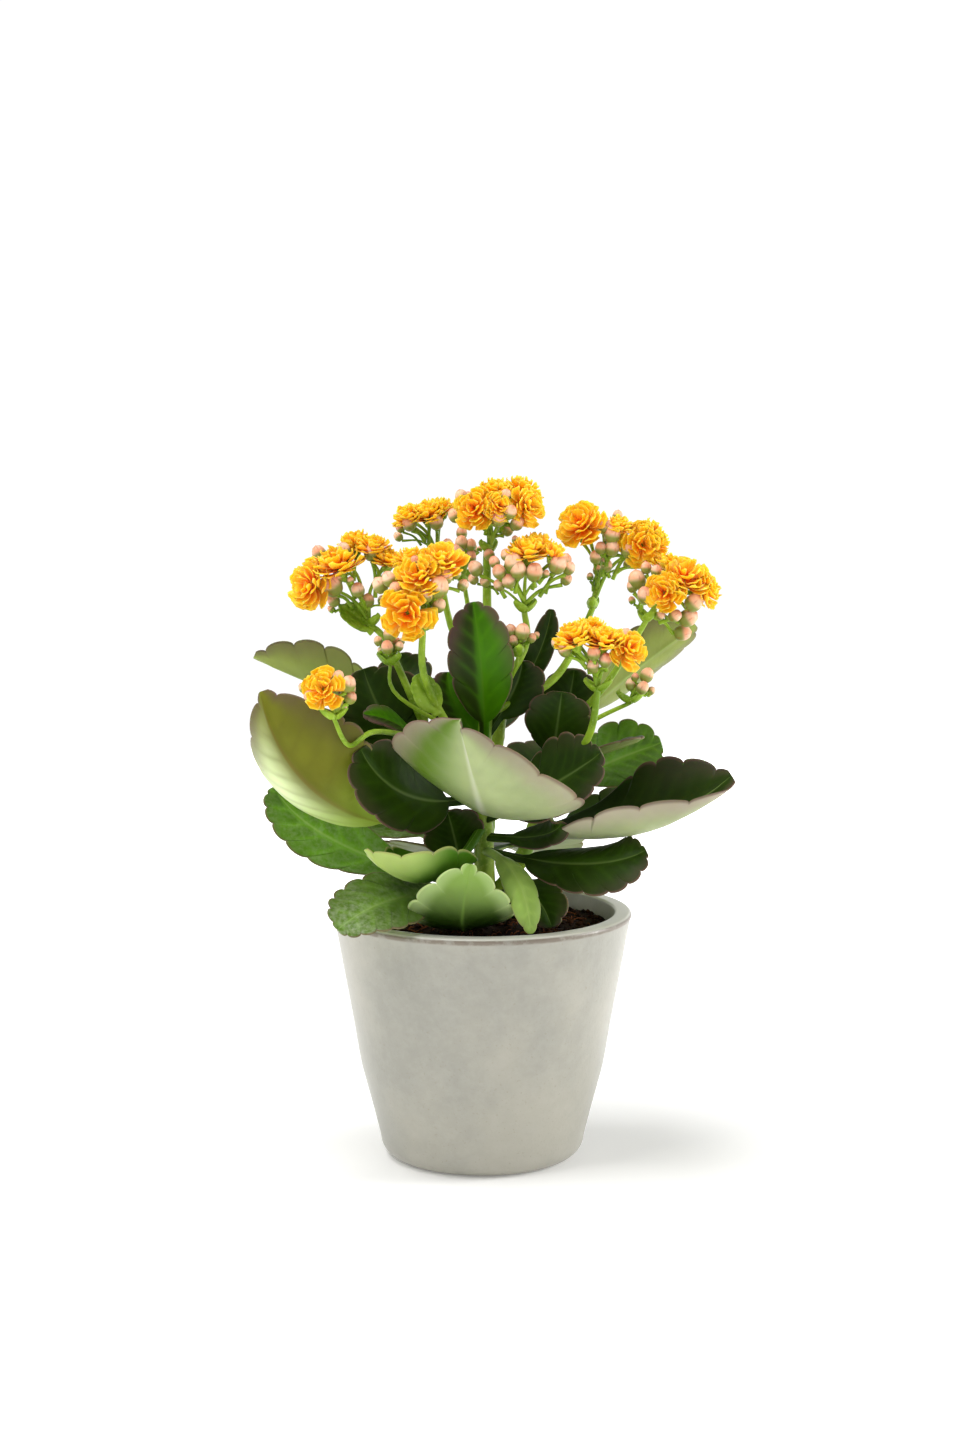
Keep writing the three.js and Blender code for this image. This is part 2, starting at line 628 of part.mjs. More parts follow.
// The flowers and buds of a head, each with its middle, the way it faces and how far it measures across.
function itemsOf(head, draw) {
  const [centre, hub] = [vec(head.centre), vec(head.hub)];
  const [rx, ry, rz] = head.reach;
  const items = [];
  function add(kind, offset, across, face) {
    const at = centre.clone().add(offset);
    const away = at.clone().sub(hub).normalize();
    const out = face ? vec(face).normalize() : away.clone().addScaledVector(UP, 0.5).normalize();
    items.push({ kind, at, out, across });
  }
  function near(x, z) {
    const depth = ry * Math.sqrt(Math.max(0, 1 - (x / rx) ** 2 - (z / rz) ** 2));
    return new THREE.Vector3(x, -depth, z);
  }
  for (const [x, y, z, across, face] of head.flowers)
    add("flower", new THREE.Vector3(x, y, z), across, face);
  head.buds.forEach(([x, z, across]) => add("bud", near(x, z), across));

  // Of some spots drawn on the far side, a flower takes the one that just touches another flower, and
  // a bud the emptiest.
  const [farFlowers, farBuds] = head.far;
  for (let k = 0; k < farFlowers + farBuds; k++) {
    const flower = k < farFlowers;
    const across = flower ? FAR_FLOWER * (0.9 + 0.2 * draw()) : FAR_BUD * (0.8 + 0.4 * draw());
    const others = flower ? items.filter((item) => item.kind === "flower") : items;
    let [best, worth] = [null, -Infinity];
    for (let tries = 0; tries < 10; tries++) {
      const [a, e] = [Math.PI * (0.1 + 0.8 * draw()), Math.PI * (0.45 * draw() - 0.05)];
      const level = Math.cos(e);
      const spot = vec([rx * Math.cos(a) * level, ry * Math.sin(a) * level, rz * Math.sin(e)]);
      const room = (item) => item.at.distanceTo(centre.clone().add(spot)) - (item.across + across) / 2;
      const space = Math.min(...others.map(room));
      const value = flower ? -Math.abs(space + FAR_OVERLAP) : space;
      if (value > worth) [best, worth] = [spot, value];
    }
    add(flower ? "flower" : "bud", best, across);
  }
  return items;
}

// A closed solid of rings of points about an axis, with a point at each end.
function ringed(at, out, sides, first, rings, last) {
  const aside = Math.abs(out.z) > 0.9 ? new THREE.Vector3(1, 0, 0) : UP;
  const u = new THREE.Vector3().crossVectors(aside, out).normalize();
  const v = new THREE.Vector3().crossVectors(out, u);
  const points = [at.clone().addScaledVector(out, first)];
  rings.forEach((ring) => {
    for (let k = 0; k < sides; k++) {
      const [radius, height, turn = 0] = ring(k);
      const a = (2 * Math.PI * (k + turn)) / sides;
      const p = at.clone().addScaledVector(out, height).addScaledVector(u, radius * Math.cos(a));
      points.push(p.addScaledVector(v, radius * Math.sin(a)));
    }
  });
  points.push(at.clone().addScaledVector(out, last));
  return solidOf(points, ringTriangles(sides, rings.length));
}

// The triangles of a point, rings of points and a last point.
function ringTriangles(sides, rings) {
  const triangles = [];
  const [lastRing, top] = [1 + (rings - 1) * sides, 1 + rings * sides];
  for (let k = 0; k < sides; k++) {
    const next = (k + 1) % sides;
    triangles.push([0, 1 + next, 1 + k]);
    for (let i = 0; i < rings - 1; i++) {
      const [a, b] = [1 + i * sides + k, 1 + i * sides + next];
      triangles.push([a, b, b + sides], [a, b + sides, a + sides]);
    }
    triangles.push([lastRing + k, lastRing + next, top]);
  }
  return triangles;
}

// A flower: rings of lobes, one inside the other, over a cone that ends at the stalk. A small one is
// half open, and only a large one has a third ring.
function flowerSolid({ at, out, across }, extra, draw) {
  const radius = across / 2;
  const sides = 2 * FLOWER_LOBES;
  const shape = Array.from({ length: sides }, () => draw());
  const lobe = (k, shift) => ((k + shift) % 2 ? 1.06 : 0.84) * (0.93 + 0.14 * shape[(k + shift) % sides]);
  const ring = (reach, height, shift) => (k) => [
    radius * reach * (shift === undefined ? 1 : lobe(k, shift)) + extra,
    radius * (height + 0.1 * (shape[(k + 3) % sides] - 0.5)) + extra,
  ];
  const open = [ring(1, 0, 0), ring(0.56, 0.14), ring(0.72, 0.46, 1)];
  const full = [...open, ring(0.3, 0.36), ring(0.4, 0.64, 0)];
  const cup = [ring(0.85, 0.1, 0), ring(0.75, 0.6, 0)];
  const rings = across < HALF_OPEN ? cup : across < FULL ? open : full;
  return ringed(at, out, sides, -FLOWER_DEPTH * across - extra, rings, 0.4 * radius + extra);
}

// A bud has few sides, turned half a step from its lower to its upper ring.
function budSolid({ at, out, across }, extra) {
  const radius = across / 2 + extra;
  return ringed(at, out, BUD_SIDES, -2 * BUD_DEPTH * radius, [
    () => [1.15 * radius, -0.35 * radius],
    () => [1.1 * radius, 0.45 * radius, 0.5],
  ], 1.15 * radius);
}

// A bud and the stalk under it in one, from where the stalk forks off.
function budOnStalk({ at, out, across }, start) {
  const radius = across / 2;
  const foot = at.clone().addScaledVector(out, -0.9 * radius);
  const along = foot.clone().sub(start).normalize();
  const points = [start.clone().addScaledVector(along, -0.3)];
  for (const [middle, axis, reach, turn] of [
    [start, along, 0.4, 0],
    [foot, out, 0.45 * radius, 0],
    [at.clone().addScaledVector(out, -0.35 * radius), out, 1.15 * radius, 0],
    [at.clone().addScaledVector(out, 0.45 * radius), out, 1.1 * radius, 0.5],
  ]) {
    const u = new THREE.Vector3().crossVectors(UP, axis);
    if (u.length() < 0.1) u.set(1, 0, 0);
    u.normalize();
    const v = new THREE.Vector3().crossVectors(axis, u);
    for (let k = 0; k < BUD_SIDES; k++) {
      const a = (2 * Math.PI * (k + turn)) / BUD_SIDES;
      const p = middle.clone().addScaledVector(u, reach * Math.cos(a));
      points.push(p.addScaledVector(v, reach * Math.sin(a)));
    }
  }
  points.push(at.clone().addScaledVector(out, 1.1 * radius));
  return solidOf(points, ringTriangles(BUD_SIDES, 4));
}

const itemSolid = (item, extra, draw) =>
  item.kind === "flower" ? flowerSolid(item, extra, draw) : budSolid(item, extra);

// Where the stalk under an item ends.
function footOf({ kind, at, out, across }) {
  const depth = (kind === "flower" ? FLOWER_DEPTH : BUD_DEPTH) * across + CALYX_GAP;
  return at.clone().addScaledVector(out, -depth);
}

// Where the stalk of each item starts and ends. The axis of the head runs on from its hub towards its
// middle. Branches leave it one after another, each to an item far from the others', and the items near
// that one fork off the branch.
function stalksOf(items, hub, centre) {
  const leaders = [items[0]];
  while (leaders.length < Math.ceil(items.length / 3)) {
    const room = (item) => Math.min(...leaders.map((leader) => leader.at.distanceTo(item.at)));
    leaders.push(items.reduce((a, b) => (room(b) > room(a) ? b : a)));
  }
  const taken = leaders.map(() => 0);
  return items.map((item) => {
    const reach = leaders.map((leader) => leader.at.distanceTo(item.at));
    const branch = reach.indexOf(Math.min(...reach));
    const start = hub.clone().lerp(centre, (0.4 * branch) / leaders.length);
    if (item === leaders[branch]) return { start, end: footOf(item) };
    taken[branch] += 1;
    return { start: start.lerp(footOf(leaders[branch]), 0.25 + 0.15 * taken[branch]), end: footOf(item) };
  });
}

// A head as two solids: its green stalks, with any bud that stands alone, and its petals with the buds
// that they touch.
function headSolids(head, seed) {
  const items = itemsOf(head, makeDraw(seed));
  function petals(extra) {
    const draw = makeDraw(seed + 1);
    return items.map((item) => itemSolid(item, extra, draw));
  }
  const solids = petals(0);
  const bloom = head.flowers.length ? largest(union(solids)) : null;
  const inBloom = items.map((item, i) => bloom !== null && solids[i].intersect(bloom).volume() > 1);

  const [hub, centre] = [vec(head.hub), vec(head.centre)];
  const [top, foot] = [hub.clone().lerp(centre, 0.4), shootPoint(...head.on)];
  const path = [top.toArray(), head.hub, ...head.stalk, foot.toArray()];
  const green = [tube(path, path.map((_, i) => head.thick * (0.6 + (0.5 * i) / path.length)), 5)];
  stalksOf(items, hub, centre).forEach(({ start, end }, i) => {
    const { kind, across } = items[i];
    const calyx = kind === "flower" ? 1.5 : 0.22 * across;
    const bare = inBloom[i] || kind === "flower";
    green.push(
      bare ? tube([start.toArray(), end.toArray()], [0.4, calyx], 3) : budOnStalk(items[i], start),
    );
    if (!inBloom[i] && kind === "flower") green.push(solids[i]);
  });
  if (head.bract) green.push(leafSolid({ cup: 0.4, bare: 0.12, teeth: 3, ...head.bract }));
  let stalks = union(green).subtract(aroundStem);
  if (bloom) stalks = stalks.subtract(union([bloom, ...petals(GAP).filter((_, i) => inBloom[i])]));
  return { stalks: largest(stalks), bloom };
}

const plant = new THREE.Group();

// The pot: a cone with a slightly bellied side, a rounded foot and a flat lip with rounded edges.
function potProfile() {
  const profile = [[0, 0]];
  profile.push([FOOT_RADIUS - FOOT_ROUND, 0]);
  for (const a of [30, 60, 90]) {
    const t = (a * Math.PI) / 180;
    profile.push([
      FOOT_RADIUS - FOOT_ROUND + FOOT_ROUND * Math.sin(t),
      FOOT_ROUND * (1 - Math.cos(t)),
    ]);
  }
  profile.push([BELLY.radius, BELLY.z]);
  profile.push([RIM_RADIUS - 0.6, POT_HEIGHT - 3]);
  profile.push([RIM_RADIUS, POT_HEIGHT - 1.2]);
  profile.push([RIM_RADIUS - 0.8, POT_HEIGHT - 0.2]);
  profile.push([RIM_RADIUS - 2, POT_HEIGHT]);
  profile.push([RIM_RADIUS - WALL + 1, POT_HEIGHT]);
  profile.push([RIM_RADIUS - WALL, POT_HEIGHT - 1]);
  profile.push([BELLY.radius - WALL, BELLY.z]);
  profile.push([FOOT_RADIUS - WALL - 1, FLOOR_THICKNESS + 3]);
  profile.push([FOOT_RADIUS - WALL - 5, FLOOR_THICKNESS]);
  profile.push([0, FLOOR_THICKNESS]);
  return profile;
}
const pot = lathe(potProfile(), POT_SIDES);
plant.add(meshOf("pot", pot, MATERIALS.glaze));

// The soil fills the pot to just under the rim, with an uneven top.
function innerRadius(z) {
  const { mapLinear } = THREE.MathUtils;
  const [foot, belly, rim] = [FOOT_RADIUS - WALL - 1, BELLY.radius - WALL, RIM_RADIUS - WALL];
  return z < BELLY.z
    ? mapLinear(z, FLOOR_THICKNESS + 3, BELLY.z, foot, belly)
    : mapLinear(z, BELLY.z, POT_HEIGHT - 1, belly, rim);
}
function soilSolid() {
  const low = FLOOR_THICKNESS + 3.5;
  const rings = [
    [innerRadius(low) - SOIL_GAP * 2, low],
    [innerRadius(BELLY.z) - SOIL_GAP * 2, BELLY.z],
    [innerRadius(SOIL_TOP - 2) - SOIL_GAP * 2, SOIL_TOP - 2],
    [44, SOIL_TOP],
    [31, SOIL_TOP + 1.5],
    [18, SOIL_TOP + 2.2],
  ];
  const points = [new THREE.Vector3(0, 0, low)];
  rings.forEach(([r, z], i) => {
    for (let k = 0; k < SOIL_SIDES; k++) {
      const a = (2 * Math.PI * k) / SOIL_SIDES;
      const bump = i > 2 ? 1.1 * Math.sin(5 * a + 2 * i) + 0.7 * Math.sin(9 * a - i * 3) : 0;
      points.push(new THREE.Vector3(r * Math.cos(a), r * Math.sin(a), z + bump));
    }
  });
  points.push(new THREE.Vector3(0, 0, SOIL_TOP + 2.5));
  const triangles = [];
  const top = points.length - 1;
  for (let k = 0; k < SOIL_SIDES; k++) {
    const next = (k + 1) % SOIL_SIDES;
    triangles.push([0, 1 + next, 1 + k]);
    for (let i = 0; i < rings.length - 1; i++) {
      const [a, b] = [1 + i * SOIL_SIDES + k, 1 + i * SOIL_SIDES + next];
      triangles.push([a, b, b + SOIL_SIDES], [a, b + SOIL_SIDES, a + SOIL_SIDES]);
    }
    const last = 1 + (rings.length - 1) * SOIL_SIDES;
    triangles.push([last + k, last + next, top]);
  }
  return solidOf(points, triangles);
}

// A solid with copies of itself shifted by the gap all round, which clear a neighbour of it.
function thickened(solid) {
  const shifts = [
    [GAP, 0, 0], [-GAP, 0, 0], [0, GAP, 0], [0, -GAP, 0], [0, 0, GAP], [0, 0, -GAP],
  ];
  return union([solid, ...shifts.map((shift) => solid.translate(shift))]);
}
const placed = [];

// Adds a piece to the plant, cut clear of those that are already there where it would share room with
// them.
function place(name, solid, look) {
  let piece = solid;
  for (const other of placed) {
    if (piece.intersect(other).volume() > TOUCH)
      piece = largest(piece.subtract(thickened(other)));
  }
  piece = tidied(piece);
  placed.push(piece);
  plant.add(meshOf(name, piece, look));
}
const soil = tidied(soilSolid().subtract(aroundStem));
placed.push(pot, soil, aroundStem);
plant.add(meshOf("soil", soil, MATERIALS.soil));
plant.add(meshOf("stem", tidied(stem), MATERIALS.stem));

for (const [i, [name, head]] of Object.entries(HEADS).entries()) {
  const { stalks, bloom } = headSolids(head, 101 + 7 * i);
  if (bloom) place("bloom_" + name, bloom, MATERIALS.petal);
  place("stalks_" + name, stalks, bloom ? MATERIALS.stalk : MATERIALS.bud);
}

for (const [name, leaf] of Object.entries(LEAVES)) {
  const from = shootPoint(leaf.on, leaf.height).toArray();
  place("leaf_" + name, leafSolid({ ...leaf, from }).subtract(aroundStem), MATERIALS.leaf);
}

export default plant;
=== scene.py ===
# The looks of a potted kalanchoe with double orange flowers, in a conical glazed pot.
# Tables and shapes are in millimetres, in the part's own frame, and become metres when a mesh is made.
import math

import bpy
import numpy as np
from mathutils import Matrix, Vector


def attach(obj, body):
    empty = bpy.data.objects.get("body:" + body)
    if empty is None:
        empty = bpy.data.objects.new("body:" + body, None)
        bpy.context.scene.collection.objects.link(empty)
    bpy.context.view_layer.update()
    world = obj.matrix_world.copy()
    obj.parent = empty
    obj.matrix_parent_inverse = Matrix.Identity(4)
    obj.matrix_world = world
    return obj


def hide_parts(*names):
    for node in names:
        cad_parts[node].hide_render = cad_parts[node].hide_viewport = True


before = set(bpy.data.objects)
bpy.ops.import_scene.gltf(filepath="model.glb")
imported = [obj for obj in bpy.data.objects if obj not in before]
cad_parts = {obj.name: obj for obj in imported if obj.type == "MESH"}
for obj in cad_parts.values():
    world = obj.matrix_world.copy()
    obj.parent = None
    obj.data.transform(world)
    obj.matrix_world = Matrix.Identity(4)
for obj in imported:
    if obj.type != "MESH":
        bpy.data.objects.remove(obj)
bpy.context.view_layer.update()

MM = 0.001
UP = np.array([0.0, 0.0, 1.0])

# Driving dimensions
POT_HEIGHT = 108
RIM_RADIUS = 65
WALL = 7.5
FOOT_RADIUS = 44.5
FOOT_ROUND = 8
BELLY_RADIUS = 52.7
BELLY_HEIGHT = 41
FLOOR_THICKNESS = 8
SOIL_TOP = 102
PETIOLE_HALF_WIDTH = 2.1
PETIOLE_THICKNESS = 3.2
LEAF_THICKNESS = 2.2  # over the midrib
MARGIN_THICKNESS = 0.9
TOOTH = 2.6  # how far a rounded tooth of the margin stands out
SWELL = 0.75  # how a blade widens from its petiole

# The camera stands where the photograph was taken from.
CAMERA_PLACE = (-0.0008, -1.05, 0.315)
CAMERA_DIP = 6.74  # degrees below level
CAMERA_LENS = 61.2

# The shoots that carry the leaves: a main one and three that branch from it low down.
SIDE_RADII = (3.6, 3.4, 3, 2.2)
SHOOTS = {
    "main": {"path": ((1, 0, 84), (1, 0, 122), (0, -3, 165), (2, -6, 200)), "radii": (5, 4.6, 3.8, 2.6)},
    "left": {"path": ((1, 0, 110), (-16, 3, 132), (-24, 4, 165), (-26, 8, 194)), "radii": SIDE_RADII},
    "right": {"path": ((1, 0, 108), (18, 2, 132), (29, 4, 165), (32, 8, 190)), "radii": SIDE_RADII},
    "back": {"path": ((1, 0, 112), (2, 14, 140), (6, 18, 175), (10, 16, 204)), "radii": SIDE_RADII},
}


def row(*values, **more):
    """A row of a table: what the function that makes the piece takes, in its order or by name."""
    return values, more


# For each leaf: the shoot and height that it grows from, its middle, its tip, the way its upper side looks,
# half its width, and how its form differs from most leaves.
LEAVES = {
    "front_broad": row(
        "main", 154, (-1, -48, 163), (-9, -74, 200), (0.27, 0.76, 0.58), 42, cup=(0.5, 0.75),
        taper=(1.45, 0.5), wave=3,
    ),
    "left_big": row(
        "left", 144, (-67, -36, 164), (-92, -36, 207), (0.35, 0.85, 0.4), 31, cup=0.9, taper=(0.7, 0.95)
    ),
    "left_low": row(
        "left", 118, (-62, 4, 136), (-91, 6, 161), (0.3, -0.7, 0.6), 15, cup=0.2, wave=1, teeth=7
    ),
    "rim_left": row(
        "main", 115, (-35, -44, 121), (-59, -66, 112), (-0.15, -0.75, 0.65), 15, cup=0.2, wave=1.5, teeth=7
    ),
    "left_tall": row("left", 162, (-41, 9, 187), (-52, 11, 212), (0.3, -0.9, 0.35), 20, cup=0.35),
    "left_dark": row("main", 158, (-31, -29, 162), (-51, -43, 184), (0.35, -0.8, 0.5), 19, cup=0.35),
    "centre_upright": row("main", 178, (0, -20, 210), (-4, -17, 243), (0, -1, 0.1), 12.5, cup=0.3),
    "left_far": row("left", 186, (-56, 33, 196), (-102, 40, 215), (0.1, 0.4, 0.9), 21, cup=0.9, fold=0.2),
    "right_big": row(
        "right", 148, (62, -29, 148), (104, -42, 172), (-0.1, -0.35, 0.93), 30, cup=(1.05, 1.5), bare=0.1
    ),
    "right_low": row(
        "main", 134, (40, -36, 134), (68, -48, 142), (0, -0.7, 0.7), 15, cup=(-0.6, 0.1), wave=1, teeth=7
    ),
    "right_far": row("right", 183, (64, 28, 208), (94, 32, 230), (-0.3, 0.7, 0.6), 16, cup=0.5),
    "low_pale": row(
        "main", 146, (-22, -41, 129), (-48, -56, 144), (0.2, 0.35, 0.9), 24, cup=1.1, taper=0.9
    ),
    "low_arched": row(
        "main", 111, (-8, -45, 109.5), (-5, -63, 139), (0, 0.6, 0.8), 21, cup=0.35, bare=0.3, taper=0.8
    ),
    "low_folded": row(
        "main", 134, (14, -44, 130), (20, -55, 108.5), (0.2, -0.95, 0.2), 5.5, cup=-0.5, teeth=3
    ),
    "low_right": row("main", 112, (19, -22, 119), (29, -36, 107), (0.1, -0.6, 0.8), 11, cup=0.2, teeth=3),
    "right_dark": row("main", 147, (27, -23, 164), (50, -34, 181), (-0.2, -0.75, 0.65), 18, cup=0.4),
    "right_upright": row("right", 166, (32, -5, 188), (34, -8, 204), (0, -1, 0.1), 13, cup=0.3, teeth=3),
    "right_upright_far": row(
        "right", 172, (37, 13, 195), (40, 11, 212), (0, -1, 0.1), 11, cup=0.2, teeth=3
    ),
    "right_mid": row("right", 158, (56, 16, 170), (79, 20, 178), (0, -0.6, 0.8), 18, cup=0.3),
    "right_edge": row("right", 170, (52, -3, 178), (69, -3, 184), (0, 0.1, 1), 11, cup=0.3, teeth=3),
    "left_wrinkled": row(
        "left", 137, (-38, 22, 141), (-57, 26, 145), (0, -0.3, 0.95), 14, cup=0.2, teeth=3
    ),
    "left_small": row("left", 178, (-38, -4, 190), (-51, -9, 194), (0, -0.5, 0.85), 6.5, cup=0.3, teeth=3),
    "left_back": row("left", 190, (-33, 26, 204), (-37, 32, 217), (0, -1, 0.2), 11, cup=0.2, teeth=3),
    "centre_left": row("back", 174, (-10, 6, 194), (-15, 6, 211), (0, -1, 0.1), 11, cup=0.2, teeth=3),
    "centre_right": row("main", 184, (13, -3, 203), (17, -4, 217), (0, -1, 0.2), 11, cup=0.3, teeth=3),
    "centre_far": row("back", 192, (23, 12, 215), (30, 12, 238), (0, -1, 0.1), 4.5, cup=0.3, teeth=3),
    "centre_dark": row("left", 122, (-12, -6, 140), (-15, -12, 153), (0, -0.9, 0.4), 12, cup=0.2, teeth=3),
    "right_small": row("main", 140, (24, -24, 144), (33, -36, 152), (0.2, -0.8, 0.5), 6, cup=0.2, teeth=3),
    "back_left": row("back", 150, (-28, 48, 163), (-48, 72, 172), (0.1, -0.2, 0.95), 24, cup=0.5, teeth=4),
    "back_right": row("back", 153, (28, 52, 160), (44, 80, 170), (-0.1, -0.2, 0.95), 25, cup=0.5, teeth=4),
    "back_middle": row("back", 176, (0, 50, 188), (-4, 78, 200), (0, -0.3, 0.95), 23, cup=0.5, teeth=4),
    "back_low_right": row("back", 131, (20, 40, 130), (34, 66, 120), (0, 0.3, 0.9), 20, cup=0.2, teeth=4),
    "back_low_left": row("back", 128, (-22, 38, 128), (-44, 60, 120), (0, 0.3, 0.9), 20, cup=0.2, teeth=4),
    "right_back": row("right", 142, (58, 32, 142), (86, 46, 152), (0, -0.1, 1), 23, cup=0.5, teeth=4),
    "left_rear": row("left", 150, (-58, 34, 158), (-88, 44, 170), (0, -0.1, 1), 22, cup=0.5, teeth=4),
}

